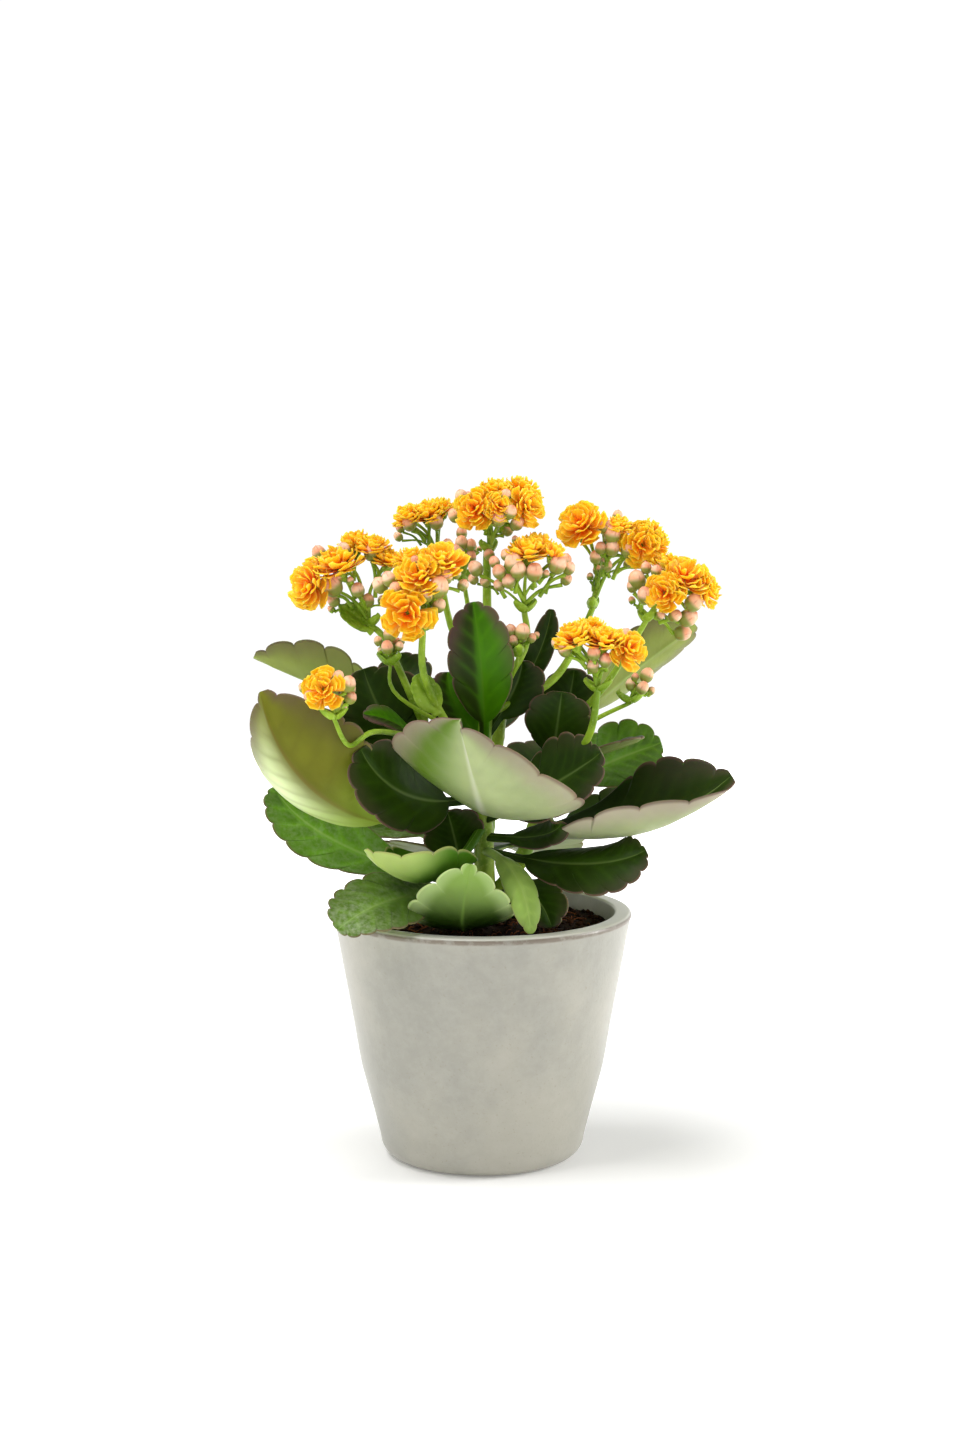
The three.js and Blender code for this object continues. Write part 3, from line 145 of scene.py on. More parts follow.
# For each head: its middle, its half sizes, where its branches start, the points of its stalk from there
# down, the shoot and height that the stalk grows from, about half the stalk's width, and how many flowers
# and buds are drawn on the far side. A flower has its place from the middle, its size across and, where it
# doesn't face straight out, the way it faces. A bud has its place across and up from the middle, and its
# size. A bract has its foot, middle and tip, the way its upper side looks and half its width.
HEADS = {
    "top": row(
        (6, 6, 282), (18, 14, 9), (3, 6, 264), ((2, 6, 262), (2, 5, 235)), "main", 192, 2.1, (2, 2),
        flowers=[
            (-9, -10, 0, 19, (-0.3, -1, 0.3)), (1, -12, 1, 14, (0.2, -1, 0.4)), (0, -2, 7, 17),
            (13, -7, 1, 18, (0.6, -0.8, 0.2)), (11, 3, 7, 19),
        ],
        buds=[
            (-15, 5, 5.8), (-18, -3, 5.8), (4, 6, 4.7), (6, -1, 5.6), (1, -4, 6), (9, -6, 5.8),
            (5, -9, 5.4),
        ],
    ),
    "top_left": row(
        (-26, 24, 275), (12, 10, 7), (-19, 24, 259), ((-19, 24, 257), (-12, 17, 225)), "back", 190, 1.6,
        (1, 2), flowers=[(-6, -6, 3, 16), (2, -7, 4, 17), (9, -5, 6, 12)], buds=[(-6, 0, 5.8), (6, 1, 6.3)],
        tiny=[(-10, -2, 3.8), (-11, -6, 4)],
    ),
    "left": row(
        (-59, -2, 256), (19, 11, 12), (-48, -2, 233), ((-48, -2, 232), (-41, 0, 224)), "left", 188, 1.55,
        (1, 2),
        flowers=[(-14, -8, -6, 23, (-0.75, -0.7, 0.1)), (-2, -9, 3, 23), (12, -4, 10, 16), (19, -4, 4, 15)],
        buds=[
            (0, 9, 5.8), (12, 8, 7.2), (18, 6, 6.7), (-5, -6, 8.7), (-5, -13, 5.4), (6, -8, 5.8),
            (10, -13, 5.4),
        ],
        tiny=[(16, -13, 3.8), (-2, -3, 3.4), (-6, -17, 3), (3, -4, 3)],
        bract=[(-47, -2, 229), (-54, -3, 235), (-61, -4, 240), (0.5, -0.6, 0.6), 5.5],
    ),
    "centre_left": row(
        (-25, -26, 251), (17, 12, 11), (-25, -28, 233), ((-25, -28, 232), (-23, -27, 208)), "main", 165,
        1.7, (1, 2),
        flowers=[
            (8, -4, 10, 22, (0, -0.55, 0.85)), (-1, -9, 4, 22, (-0.2, -0.75, 0.65)),
            (-6, -12, -11, 24, (-0.05, -1, 0)),
        ],
        buds=[
            (-3, 10, 4.7), (7, 0, 8.5), (10, 4, 5.6), (17, 0, 4.7), (2, -3, 6), (7, -8, 5.6),
            (-11, -1, 5.4), (-14, 3, 6), (-18, 0, 6.5),
        ],
        tiny=[(14, 5, 4.3)], bract=[(-19, -23, 196), (-23, -25, 204), (-28, -26, 213), (0.2, -1, 0.1), 5],
    ),
    "centre": row(
        (17, -4, 257), (21, 12, 10), (18, -4, 239), ((18, -4, 238), (18, -6, 222)), "main", 196, 1.6,
        (1, 2), flowers=[(2, -7, 7, 18.2), (13, -8, 6, 12.4)],
        buds=[
            (-2, 0, 7.2), (-6, -5, 5.8), (-10, -1, 5.8), (-12, 3, 4.7), (-7, 6, 4.7), (-4, 3, 7.6),
            (5, -1, 7.2), (15, 2, 7.6), (20, 0, 5.2), (19, -5, 4.7), (-20, 0, 6.3), (-10, -7, 4.7),
        ],
        tiny=[(-21, -5, 4.3), (-16, -6, 4.3), (10, -2, 3), (-3, 12, 3)],
    ),
    "right_top": row(
        (56, 16, 268), (20, 10, 12), (48, 16, 239), ((48, 16, 238), (40, 10, 221), (28, 3, 206)), "main",
        194, 1.8, (1, 2),
        flowers=[
            (-13, -7, 7, 23, (-0.4, -0.7, 0.6)), (3, -8, 6, 14), (13, -9, -2, 21, (0.1, -1, 0.2)),
            (18, -3, 1, 18, (0.8, 0.1, 0.5)),
        ],
        buds=[
            (-3, 6, 6), (0, 3, 7.4), (0, -3, 6.3), (-5, -3, 4.9), (7, -4, 6.3), (-7, -7, 5.4),
            (-2, -11, 4.9), (13, -9, 5.4),
        ],
        tiny=[(-6, -13, 3.8), (-9, -16, 3), (-3, -9, 3), (7, -10, 3.4)],
    ),
    "right": row(
        (81, -4, 246), (17, 12, 12), (70, -4, 235), ((70, -4, 234), (62, -1, 220), (50, 2, 202)), "right",
        182, 1.6, (1, 2),
        flowers=[
            (5, -8, 7, 22, (0.1, -0.6, 0.8)), (-4, -12, 1, 18, (-0.3, -1, 0.2)),
            (14, -5, 2, 17, (1, -0.3, 0.3)),
        ],
        buds=[
            (-15, 6, 7.6), (-17, 3, 4.7), (-12, 0, 6.7), (-11, 11, 4.7), (-7, 10, 4.7), (9, -3, 7.6),
            (11, 3, 4.7), (7, -10, 7.6), (5, -17, 6.7), (1, -9, 5.4),
        ],
        tiny=[(-5, -9, 3.8), (-17, -3, 3)],
    ),
    "right_low": row(
        (48, -32, 225), (17, 11, 8), (48, -34, 208), ((48, -34, 207), (44, -29, 186)), "right", 160, 1.7,
        (1, 2), flowers=[(-10, -8, 5, 19), (2, -9, 4, 18), (12, -8, 0, 18, (0.5, -0.8, 0.4))],
        buds=[
            (-10, 6, 4.7), (-5, 8, 4.7), (-14, 0, 5.6), (-2, -1, 5.6), (3, -4, 5.6), (-2, -7, 5.2),
            (-17, 2, 4.7),
        ],
    ),
    "left_low": row(
        (-64, -49, 210), (10, 7, 6), (-61, -49, 198), ((-61, -49, 197), (-55, -48, 186), (-45, -34, 190)),
        "left", 182, 1.2, (0, 2), flowers=[(-1, -5, 0, 18, (-0.1, -1, 0.3))],
        buds=[(9, 2, 6.3), (10, -4, 4.7), (4, -6, 5.6), (5, 5, 4.7), (-7, -3, 4.7)],
        tiny=[(-10, 0, 3.8), (7, -8, 2.4)],
    ),
    "inner": row(
        (-9, 18, 264), (8, 6, 7), (-8, 18, 250), ((-8, 18, 249), (-3, 16, 225)), "back", 195, 1.2, (0, 1),
        buds=[(-6, 2, 4.9), (0, 3, 5.8), (-2, -1, 6.7), (4, 2, 4.9), (4, -3, 4.9), (0, 7, 4.9)],
        tiny=[(-8, -1, 3.8), (8, 0, 2.2)],
    ),
    "bud_centre": row(
        (16, -16, 228), (6, 4, 4), (15, -16, 221), ((15, -16, 220), (13, -13, 212)), "main", 190, 0.9,
        (0, 1), buds=[(-4, 3, 5.2), (1, 3, 6.3)],
        tiny=[(-3, -1, 4.3), (5, 0, 3.8), (7, 1, 2.6), (-4, -3, 3.4)],
    ),
    "bud_left": row(
        (-39, -22, 226), (5, 4, 4), (-39, -22, 218), ((-39, -22, 217), (-35, -21, 203)), "main", 180, 0.9,
        (0, 1), buds=[(0, 4, 5.6), (-1, -1, 5.2)],
        tiny=[(-5, 1, 3.8), (4, -1, 3.8), (-4, -3, 2.6), (5, 1, 2.6)],
    ),
    "bud_right": row(
        (68, -14, 208), (5, 4, 4), (63, -14, 201), ((63, -14, 200), (50, -8, 193)), "right", 180, 1.05,
        (0, 1), buds=[(2, 4, 5.8), (0, -1, 5.2)], tiny=[(4, -3, 3.4), (-3, 3, 3.4), (3, -4, 2.6)],
    ),
}


# Small helpers


def unit(v):
    return v / np.linalg.norm(v)


def smoothstep(low, high, x):
    t = np.clip((x - low) / (high - low), 0, 1)
    return t * t * (3 - 2 * t)


def make_draw(seed):
    """Seeded draws from 0 to 1."""
    state = [seed]

    def draw():
        state[0] = (state[0] * 1664525 + 1013904223) % 2**32
        return state[0] / 2**32

    return draw


def ripple(x, y, seed):
    """A smooth uneven surface between about -1 and 1, from a few waves."""
    draw = make_draw(seed)
    total = 0
    for k in range(5):
        angle = 2 * math.pi * draw()
        size = 0.6 + 0.5 * k
        phase = 2 * math.pi * draw()
        total = total + np.sin(size * (x * math.cos(angle) + y * math.sin(angle)) + phase) / (1 + 0.5 * k)
    return total / 2.2


def place_in_scene(name, data):
    thing = bpy.data.objects.new(name, data)
    bpy.context.scene.collection.objects.link(thing)
    return thing


class Shape:
    """Points in millimetres, the faces between them, and at each point a place: three numbers that the
    looks read."""

    def __init__(self):
        self.points = []
        self.places = []
        self.faces = []
        self.count = 0

    def add(self, points, faces, places):
        points = np.asarray(points, float).reshape(-1, 3)
        places = np.asarray(places, float).reshape(-1, 3)
        self.points.append(points)
        self.places.append(np.broadcast_to(places, points.shape))
        self.faces.extend(tuple(i + self.count for i in face) for face in faces)
        self.count += len(points)

    def piece(self, name, look, slot, *nodes):
        """Makes the object that stands for the nodes."""
        mesh = bpy.data.meshes.new(name)
        mesh.from_pydata((np.concatenate(self.points) * MM).tolist(), [], self.faces)
        place = mesh.attributes.new("place", "FLOAT_VECTOR", "POINT")
        place.data.foreach_set("vector", np.concatenate(self.places).astype(np.float32).ravel())
        mesh.shade_smooth()
        mesh.materials.append(look)
        piece = place_in_scene(name, mesh)
        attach(piece, "root")
        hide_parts(*nodes)


def grid_faces(rows, columns, start=0, closed=False, flip=False):
    """Quads between rows of points; closed joins each row's last point to its first."""
    faces = []
    for i in range(rows - 1):
        for j in range(columns if closed else columns - 1):
            k = (j + 1) % columns
            face = (i * columns + j, i * columns + k, (i + 1) * columns + k, (i + 1) * columns + j)
            faces.append(tuple(start + v for v in (face[::-1] if flip else face)))
    return faces


def tube_faces(rows, columns):
    """Quads round closed rows of points, and a face over each end."""
    faces = grid_faces(rows, columns, closed=True)
    faces.append(tuple(range(columns))[::-1])
    faces.append(tuple((rows - 1) * columns + k for k in range(columns)))
    return faces


def places_of(points, *values):
    """The place at each point, from a value or values for each of its three numbers."""
    places = np.zeros_like(points)
    for k, value in enumerate(values):
        places[..., k] = value
    return places


def bow(s, start, control, end):
    """A simple curve from start to end, pulled towards the control point."""
    return (1 - s) ** 2 * start + 2 * s * (1 - s) * control + s**2 * end


def smooth_path(points, steps):
    """Points of a smooth curve through the given ones."""
    p = np.asarray(points, float)
    p = np.vstack([2 * p[0] - p[1], p, 2 * p[-1] - p[-2]])
    out = []
    for i in range(1, len(p) - 2):
        for t in np.arange(steps) / steps:
            a, b, c, d = p[i - 1 : i + 3]
            out.append(b + 0.5 * t * (c - a + t * (2 * a - 5 * b + 4 * c - d + t * (3 * (b - c) + d - a))))
    out.append(p[-2])
    return np.array(out)


def add_tube(shape, path, radii, sides, kind=0):
    """A tube along a path, with a radius at each point and pointed ends. At each point, the place is the
    share of the way along, 0 and the kind."""
    path = np.asarray(path, float)
    side = np.array([1.0, 0, 0])
    points = [path[0]]
    places = [(0, 0, kind)]
    angles = 2 * math.pi * np.arange(sides) / sides
    for i, p in enumerate(path):
        along = unit(path[min(i + 1, len(path) - 1)] - path[max(i - 1, 0)])
        side = side - along * side.dot(along)
        if np.linalg.norm(side) < 0.2:
            side = np.array([0, 1.0, 0]) - along * along[1]
        side = unit(side)
        across = np.cross(along, side)
        points.extend(p + radii[i] * (np.cos(a) * side + np.sin(a) * across) for a in angles)
        places.extend([(i / (len(path) - 1), 0, kind)] * sides)
    points.append(path[-1])
    places.append((1, 0, kind))
    faces = grid_faces(len(path), sides, start=1, closed=True)
    last = 1 + (len(path) - 1) * sides
    for k in range(sides):
        following = (k + 1) % sides
        faces.append((0, 1 + following, 1 + k))
        faces.append((last + k, last + following, len(points) - 1))
    shape.add(points, faces, places)


# Leaves


def blade_profile(s, taper):
    """Half the width of a blade at a share of its length, as a share of its widest."""
    widest = SWELL / (SWELL + taper)
    return (s / widest) ** SWELL * ((1 - s) / (1 - widest)) ** taper


def margin_points(turn, teeth, half, length, taper):
    """The toothed margin at turn, from 0 at the petiole to 1 at the tip, as millimetres along and out."""

    def plain(k):
        s = 1 - (1 - k) ** 1.5
        return s * length, PETIOLE_HALF_WIDTH * (1 - s) + half * blade_profile(s, taper)

    x, y = plain(turn)
    x0, y0 = plain(np.maximum(0, turn - 0.02))
    x1, y1 = plain(np.minimum(1, turn + 0.02))
    size = np.hypot(x1 - x0, y1 - y0)
    phase = (teeth * (1 - turn) + 0.5) % 1
    scallop = np.sqrt(4 * phase * (1 - phase)) - 0.6
    out = TOOTH * scallop * smoothstep(0.05, 0.35, turn) * min(1, half / 18)
    return x - (y1 - y0) / size * out, y + (x1 - x0) / size * out


# The places of the margin's points within a tooth, and of a blade's points from midrib to margin.
TOOTH_PHASES = [0, 0.03, 0.09, 0.18, 0.3, 0.42, 0.5, 0.58, 0.7, 0.82, 0.91, 0.97]
BLADE_SHARES = np.array([0, 0.06, 0.14, 0.24, 0.35, 0.46, 0.57, 0.68, 0.78, 0.86, 0.92, 0.965, 1])
PETIOLE_ROWS = 6
MIDRIB_WIDTH = 1.3
RIM_ROUND = 0.3  # how far the rounded edge of the margin stands out
VEIN_MARK = 0.25


def add_leaf(
    shape, seed, start, middle, end, face, half,
    cup=0.3, taper=0.55, fold=0, wave=0, teeth=5, bare=0.22, veins=0.12,
):
    """A leaf with a rounded margin, a midrib and side veins, from its start through its middle to its end,
    with its upper side towards face. half is half its width and bare the share of its length that is
    petiole; cup and taper may differ between its two halves; wave and veins are the heights of both. At
    each point, the place is the share of the way to the tip, the share of the way from midrib to margin,
    below 0 on one side, and which side of the blade it is on: 1 on the upper and 0 on the lower one, and up
    to VEIN_MARK less or more than that on a vein."""
    start, middle, end, face = [np.array(v, float) for v in (start, middle, end, face)]
    control = 2 * middle - 0.5 * start - 0.5 * end
    cups, tapers = np.resize(cup, 2), np.resize(taper, 2)
    line = bow(np.linspace(0, 1, 200)[:, None], start, control, end)
    length = np.linalg.norm(np.diff(line, axis=0), axis=1).sum() * (1 - bare)

    turns = [(i + 0.5 + p) / teeth for i in range(-1, teeth) for p in TOOTH_PHASES]
    turns = np.array([0] + [t for t in turns if 0.004 < t < 0.998] + [1])
    petiole = np.arange(PETIOLE_ROWS) / PETIOLE_ROWS
    shares = np.concatenate([-BLADE_SHARES[:0:-1], BLADE_SHARES])
    rows = PETIOLE_ROWS + len(turns)

    # Where each point lies: how far along the rib, as a share, and how far across it.
    t = np.zeros((rows, len(shares)))
    y = np.zeros_like(t)
    lift = np.zeros_like(t)
    thickness = np.zeros_like(t)
    far = np.abs(shares)
    t[:PETIOLE_ROWS] = (petiole * bare)[:, None]
    y[:PETIOLE_ROWS] = PETIOLE_HALF_WIDTH * shares
    for j, q in enumerate(shares):
        along, out = margin_points(turns, teeth, half, length, tapers[0 if q < 0 else 1])
        rib_along = turns**1.15 * length
        along = rib_along + (along - rib_along) * far[j] ** 1.3
        t[PETIOLE_ROWS:, j] = bare + (1 - bare) * along / length
        y[PETIOLE_ROWS:, j] = q * out
        lift[PETIOLE_ROWS:, j] = wave * far[j] ** 2 * np.sin(3 * math.pi * turns + (1.5 if q < 0 else 0))
        thin = (LEAF_THICKNESS - MARGIN_THICKNESS) * np.maximum(far[j] ** 2, 0.4 * turns)
        thickness[PETIOLE_ROWS:, j] = LEAF_THICKNESS - thin
    t = np.minimum(t, 1)
    round_petiole = PETIOLE_THICKNESS * np.sqrt(1 - 0.92 * far**2)
    into_blade = smoothstep(0.3, 1.3, petiole)[:, None]
    blade_start = thickness[PETIOLE_ROWS]
    thickness[:PETIOLE_ROWS] = round_petiole * (1 - into_blade) + blade_start * into_blade
    thickness[PETIOLE_ROWS:, [0, -1]] *= 0.6

    # The frame at each point: along the rib, up and to the side.
    share = t[..., None]
    rib = bow(share, start, control, end)
    along = 2 * (1 - share) * (control - start) + 2 * share * (end - control)
    along /= np.linalg.norm(along, axis=-1, keepdims=True)
    up = face - (along @ face)[..., None] * along
    up /= np.linalg.norm(up, axis=-1, keepdims=True)
    side = np.cross(along, up)
    radius = half / np.where(y < 0, cups[0], cups[1])
    bend_from = fold * np.minimum(1, np.abs(y) / 4)
    bend_to = bend_from + np.abs(y) / radius
    sign = np.sign(y)[..., None]
    blade = smoothstep(bare, bare + 0.15, t)
    tips = 1 - smoothstep(0.9, 1, t)
    uneven = 0.55 * ripple(t * length / 9, y / 9, seed) * np.minimum(1, np.abs(y) / 8) * blade
    vein_phase = (t * length - np.abs(y) * 0.8) / (length * 0.12) + 0.35 * ripple(t * 6, y / 12, seed + 1)
    vein = np.abs(np.sin(math.pi * vein_phase)) ** 0.7 * smoothstep(0.05, 0.25, far) * (1 - far**3)
    bulge = veins * (vein - 0.5) * blade * tips
    spot = rib + side * sign * (radius * (np.sin(bend_to) - np.sin(bend_from)))[..., None]
    spot += up * (radius * (np.cos(bend_from) - np.cos(bend_to)) + lift)[..., None]
    out = up * np.cos(bend_to)[..., None] - side * sign * np.sin(bend_to)[..., None]
    outward = side * sign * np.cos(bend_to)[..., None] + up * np.sin(bend_to)[..., None]
    spot += out * uneven[..., None]

    # A furrow over the midrib and a keel under it.
    rib_form = np.exp(-((y / MIDRIB_WIDTH) ** 2)) * tips * blade
    upper = spot + out * (thickness / 2 + bulge - 0.5 * rib_form)[..., None]
    lower = spot - out * (thickness / 2 - bulge * 0.7 + 0.6 * rib_form)[..., None]
    edge_out = np.where(np.arange(rows) < PETIOLE_ROWS, 0, RIM_ROUND)[:, None]
    left_rim = spot[:, 0] + outward[:, 0] * edge_out
    right_rim = spot[:, -1] + outward[:, -1] * edge_out

    ring = np.concatenate([upper, right_rim[:, None], lower[:, ::-1], left_rim[:, None]], axis=1)
    columns = ring.shape[1]
    mark = VEIN_MARK * (1 - vein) * blade * (1 - far**4)
    between = np.full((rows, 1), 0.5)
    places = places_of(
        ring,
        np.concatenate([t, t[:, -1:], t[:, ::-1], t[:, :1]], axis=1),
        np.concatenate([shares, [1], shares[::-1], [-1]]),
        np.concatenate([1 - mark, between, mark[:, ::-1], between], axis=1),
    )
    faces = grid_faces(rows, columns, closed=True, flip=True)
    for j in range(len(shares) - 1):
        opposite = 2 * len(shares) - j
        faces.append((j, j + 1, opposite - 1, opposite))
        tip = (rows - 1) * columns
        faces.append((tip + opposite, tip + opposite - 1, tip + j + 1, tip + j))
    last = len(shares) - 1
    faces.append((last, last + 1, last + 2))
    faces.append((columns - 1, 0, 2 * len(shares)))
    shape.add(ring, faces, places)


# Flowers and buds

PETAL_ROWS = 8
PETAL_COLUMNS = 7
PETAL_THICKNESS = 0.42
PETAL_EDGE = 0.16  # how thick the edge of a petal is
# The layers of petals of a full flower, from the outermost in: how far the petals of each reach out and up,
# as shares of the flower's half width, and how many there are.
LAYERS = [(0.98, -0.1, 5), (1.0, 0.08, 5), (0.84, 0.26, 5), (0.66, 0.4, 5), (0.46, 0.5, 4), (0.22, 0.55, 3)]
HALF_OPEN_LAYERS = [(0.78, 0.35, 4), (0.66, 0.5, 4), (0.4, 0.66, 3), (0.15, 0.66, 3)]
HALF_OPEN = 13  # a flower under this across is half open
FLOWER_DEPTH = 0.32  # from a flower's middle down to its foot, as a share of its width
BUD_DEPTH = 0.575
CALYX_GAP = 0.3


def frame_round(out):
    """Two directions square to the given one and to each other."""
    aside = np.array([1.0, 0, 0]) if abs(out[2]) > 0.9 else UP
    u = unit(np.cross(aside, out))
    return u, np.cross(out, u)


def turned(out, angle):
    """The direction square to the given one at an angle round it, and the one beside it."""
    u, v = frame_round(out)
    away = math.cos(angle) * u + math.sin(angle) * v
    return away, np.cross(out, away)


def add_sheet(shape, middle, thick, places):
    """A closed thin sheet about a grid of points."""
    rows, columns = middle.shape[:2]
    normal = normals_of(middle)
    top = (middle + normal * thick[..., None] / 2).reshape(-1, 3)
    bottom = (middle - normal * thick[..., None] / 2).reshape(-1, 3)
    count = len(top)
    faces = grid_faces(rows, columns) + grid_faces(rows, columns, start=count, flip=True)
    border = list(range(columns))
    border += [i * columns + columns - 1 for i in range(1, rows)]
    border += [(rows - 1) * columns + j for j in range(columns - 2, -1, -1)]
    border += [i * columns for i in range(rows - 2, 0, -1)]
    for a, b in zip(border, border[1:] + border[:1]):
        faces.append((b, a, a + count, b + count))
    shape.add([top, bottom], faces, [places, places])


def normals_of(grid):
    """The direction square to a grid at each of its points."""
    down = np.gradient(grid, axis=0)
    right = np.gradient(grid, axis=1)
    n = np.cross(right, down)
    return n / np.maximum(np.linalg.norm(n, axis=-1, keepdims=True), 1e-9)


def add_petal(shape, item, angle, reach, rise, rank, draw):
    """A petal from the middle of a flower, widest near its rounded end, with curled and waved edges."""
    at, out, across = item
    radius = across / 2
    away, beside = turned(out, angle)
    s = np.linspace(0, 1, PETAL_ROWS) ** 0.85
    q = np.linspace(-1, 1, PETAL_COLUMNS)
    start = (0.07 * radius, (-0.3 + 0.4 * rank) * radius)
    end = (reach * radius, rise * radius)
    middle_reach = (0.75 - 0.2 * rank) * end[0] + 0.12 * radius
    middle = (middle_reach, start[1] + (0.1 + 0.35 * rank) * (end[1] - start[1]))
    r, h = [bow(s, start[k], middle[k], end[k]) for k in (0, 1)]
    width = radius * (0.5 - 0.2 * rank) * s**0.7 * np.sqrt(1 - 0.9 * s**6) + 0.25
    phase = 2 * math.pi * draw()
    curl = (0.1 + 0.5 * rank) * (0.5 + draw())
    wave = 0.09 * radius * np.sin(phase + 4 * s[:, None] + 2 * q) * np.abs(q) * s[:, None]
    point = 0.08 * radius * (1 - np.abs(q)) * (s[:, None] ** 6)
    height = h[:, None] + curl * width[:, None] * q**2 + wave
    grid = at + away * (r[:, None, None] + point[..., None]) + out * height[..., None]
    grid = grid + beside * (width[:, None] * q)[..., None]
    places = places_of(grid, s[:, None], np.abs(q), rank + 0.12 * (draw() - 0.5))
    thick = np.full(grid.shape[:2], PETAL_THICKNESS)
    thick[-1] = thick[:, 0] = thick[:, -1] = PETAL_EDGE
    add_sheet(shape, grid, thick, places)


def add_flower(petals, green, at, out, across, draw):
    """A flower in layers of petals on its tube, in a cup of four sepals."""
    layers = HALF_OPEN_LAYERS if across < HALF_OPEN else LAYERS
    turn = 2 * math.pi * draw()
    for i, (reach, rise, count) in enumerate(layers):
        rank = i / (len(layers) - 1)
        if across < HALF_OPEN:
            rank = 0.35 + 0.65 * rank
        turn += 2.4
        for k in range(count):
            angle = turn + 2 * math.pi * (k + 0.35 * (draw() - 0.5)) / count
            stretch = 0.92 + 0.14 * draw()
            higher = rise + 0.1 * (draw() - 0.5)
            add_petal(petals, (at, out, across), angle, reach * stretch, higher, rank, draw)
    foot = at - out * FLOWER_DEPTH * across
    tube_top = at - out * 0.08 * across
    path = smooth_path([foot - out * 0.6, foot + out * 0.4, tube_top], 4)
    radii = np.interp(np.linspace(0, 1, len(path)), [0, 0.2, 0.6, 1], [0.9, 1.5, 1.9, 1.5])
    add_tube(green, path, radii, 10, 0.4)
    for k in range(4):
        add_sepal(green, foot, out, 2 * math.pi * k / 4 + turn, 0.24 * across, 1.5, 0.9)


def add_sepal(green, foot, out, angle, length, width, spread):
    """One pointed green sepal at the foot of a flower or bud, lying along its side."""
    away, beside = turned(out, angle)
    s = np.linspace(0, 1, 5)
    q = np.linspace(-1, 1, 3)
    r = 0.9 + spread * length * 0.55 * np.sin(0.5 * math.pi * s)
    w = width * np.sin(math.pi * (0.25 + 0.75 * s)) ** 0.8 * 0.8 + 0.08
    height = length * s
    grid = foot + away * (r[:, None] - 0.25 * w[:, None] * q**2)[..., None] + out * height[:, None, None]
    grid = grid + beside * (w[:, None] * q)[..., None]
    thick = np.full(grid.shape[:2], SEPAL_THICKNESS)
    add_sheet(green, grid, thick, places_of(grid, s[:, None], np.abs(q), 0.4))


SEPAL_THICKNESS = 0.35
BUD_COLUMNS = 16
BUD_ROWS = 10


def add_bud(buds, green, at, out, across, draw):
    """A closed bud: an egg of four wrapped petals with a small point, in a cup of four sepals."""
    radius = across / 2
    u, v = frame_round(out)
    s = np.linspace(0, 1, BUD_ROWS)
    a = 2 * math.pi * np.arange(BUD_COLUMNS) / BUD_COLUMNS + 2 * math.pi * draw()
    height = radius * (-1.12 + 2.24 * s)
    body = radius * 0.94 * np.sqrt(np.clip(1 - (1.9 * (s - 0.46)) ** 2, 0.0, 1)) ** 0.9
    body = body * (1 + 0.1 * (1 - s)) + 0.02
    seam = 1 - np.abs(np.cos(2 * a[None] + 1.6 * s[:, None]))
    r = body[:, None] * (1 - 0.09 * seam**3 * smoothstep(0.2, 0.7, s)[:, None])
    points = at + r[..., None] * (np.cos(a)[:, None] * u + np.sin(a)[:, None] * v)
    points = points + height[:, None, None] * out
    places = places_of(points, s[:, None], seam, draw())
    buds.add(points, tube_faces(BUD_ROWS, BUD_COLUMNS), places)
    foot = at - out * BUD_DEPTH * across
    turn = 2 * math.pi * draw()
    for k in range(4):
        add_sepal(green, foot, out, turn + 2 * math.pi * k / 4, 0.5 * across, 0.28 * across, 0.62)


def shoot_point(name, height):
    """The middle of a shoot at a height."""
    path = np.array(SHOOTS[name]["path"], float)
    return np.array([np.interp(height, path[:, 2], path[:, k]) for k in range(3)])


# On the far side: about how big a flower and a bud are, and how far a flower reaches into another.
FAR_FLOWER = 17
FAR_BUD = 5.5
FAR_OVERLAP = 6
CROWN = 0.4  # the share of the way from a head's hub to its middle over which branches leave its axis
THIN_STALK_BUD = 4.5  # a bud under this across has a thinner stalk


def items_of(centre, reach, hub, far, flowers, buds, tiny, draw):
    """The flowers and buds of a head: what each is, its middle, the way it faces and how far it measures
    across."""
    rx, ry, rz = reach
    items = []

    def add(kind, offset, across, face=None):
        at = centre + offset
        out = unit(np.array(face, float)) if face else unit(unit(at - hub) + 0.5 * UP)
        items.append((kind, at, out, across))

    def near(x, z):
        return np.array([x, -ry * math.sqrt(max(0, 1 - (x / rx) ** 2 - (z / rz) ** 2)), z])

    for x, y, z, across, *face in flowers:
        add("flower", np.array([x, y, z], float), across, *face)
    for x, z, across in buds:
        add("bud", near(x, z), across)

    # Of some spots drawn on the far side, a flower takes the one where it reaches into the nearest other by
    # about FAR_OVERLAP, and a bud the emptiest.
    for k in range(sum(far)):
        flower = k < far[0]
        across = FAR_FLOWER * (0.9 + 0.2 * draw()) if flower else FAR_BUD * (0.8 + 0.4 * draw())
        others = [item for item in items if item[0] == "flower" or not flower]
        best, worth = None, -math.inf
        for _ in range(10):
            a = math.pi * (0.1 + 0.8 * draw())
            e = math.pi * (0.45 * draw() - 0.05)
            level = np.array([rx * math.cos(a), ry * math.sin(a), 0]) * math.cos(e)
            spot = level + np.array([0, 0, rz * math.sin(e)])
            space = min(np.linalg.norm(o[1] - centre - spot) - (o[3] + across) / 2 for o in others)
            value = -abs(space + FAR_OVERLAP) if flower else space
            if value > worth:
                best, worth = spot, value
        add("flower" if flower else "bud", best, across)
    for x, z, across in tiny:
        add("bud", near(x, z) + np.array([0, 1.5, 0]), across)
    return items


def foot_of(item):
    """Where the stalk of a flower or bud ends."""
    kind, at, out, across = item
    return at - out * ((FLOWER_DEPTH if kind == "flower" else BUD_DEPTH) * across + CALYX_GAP)


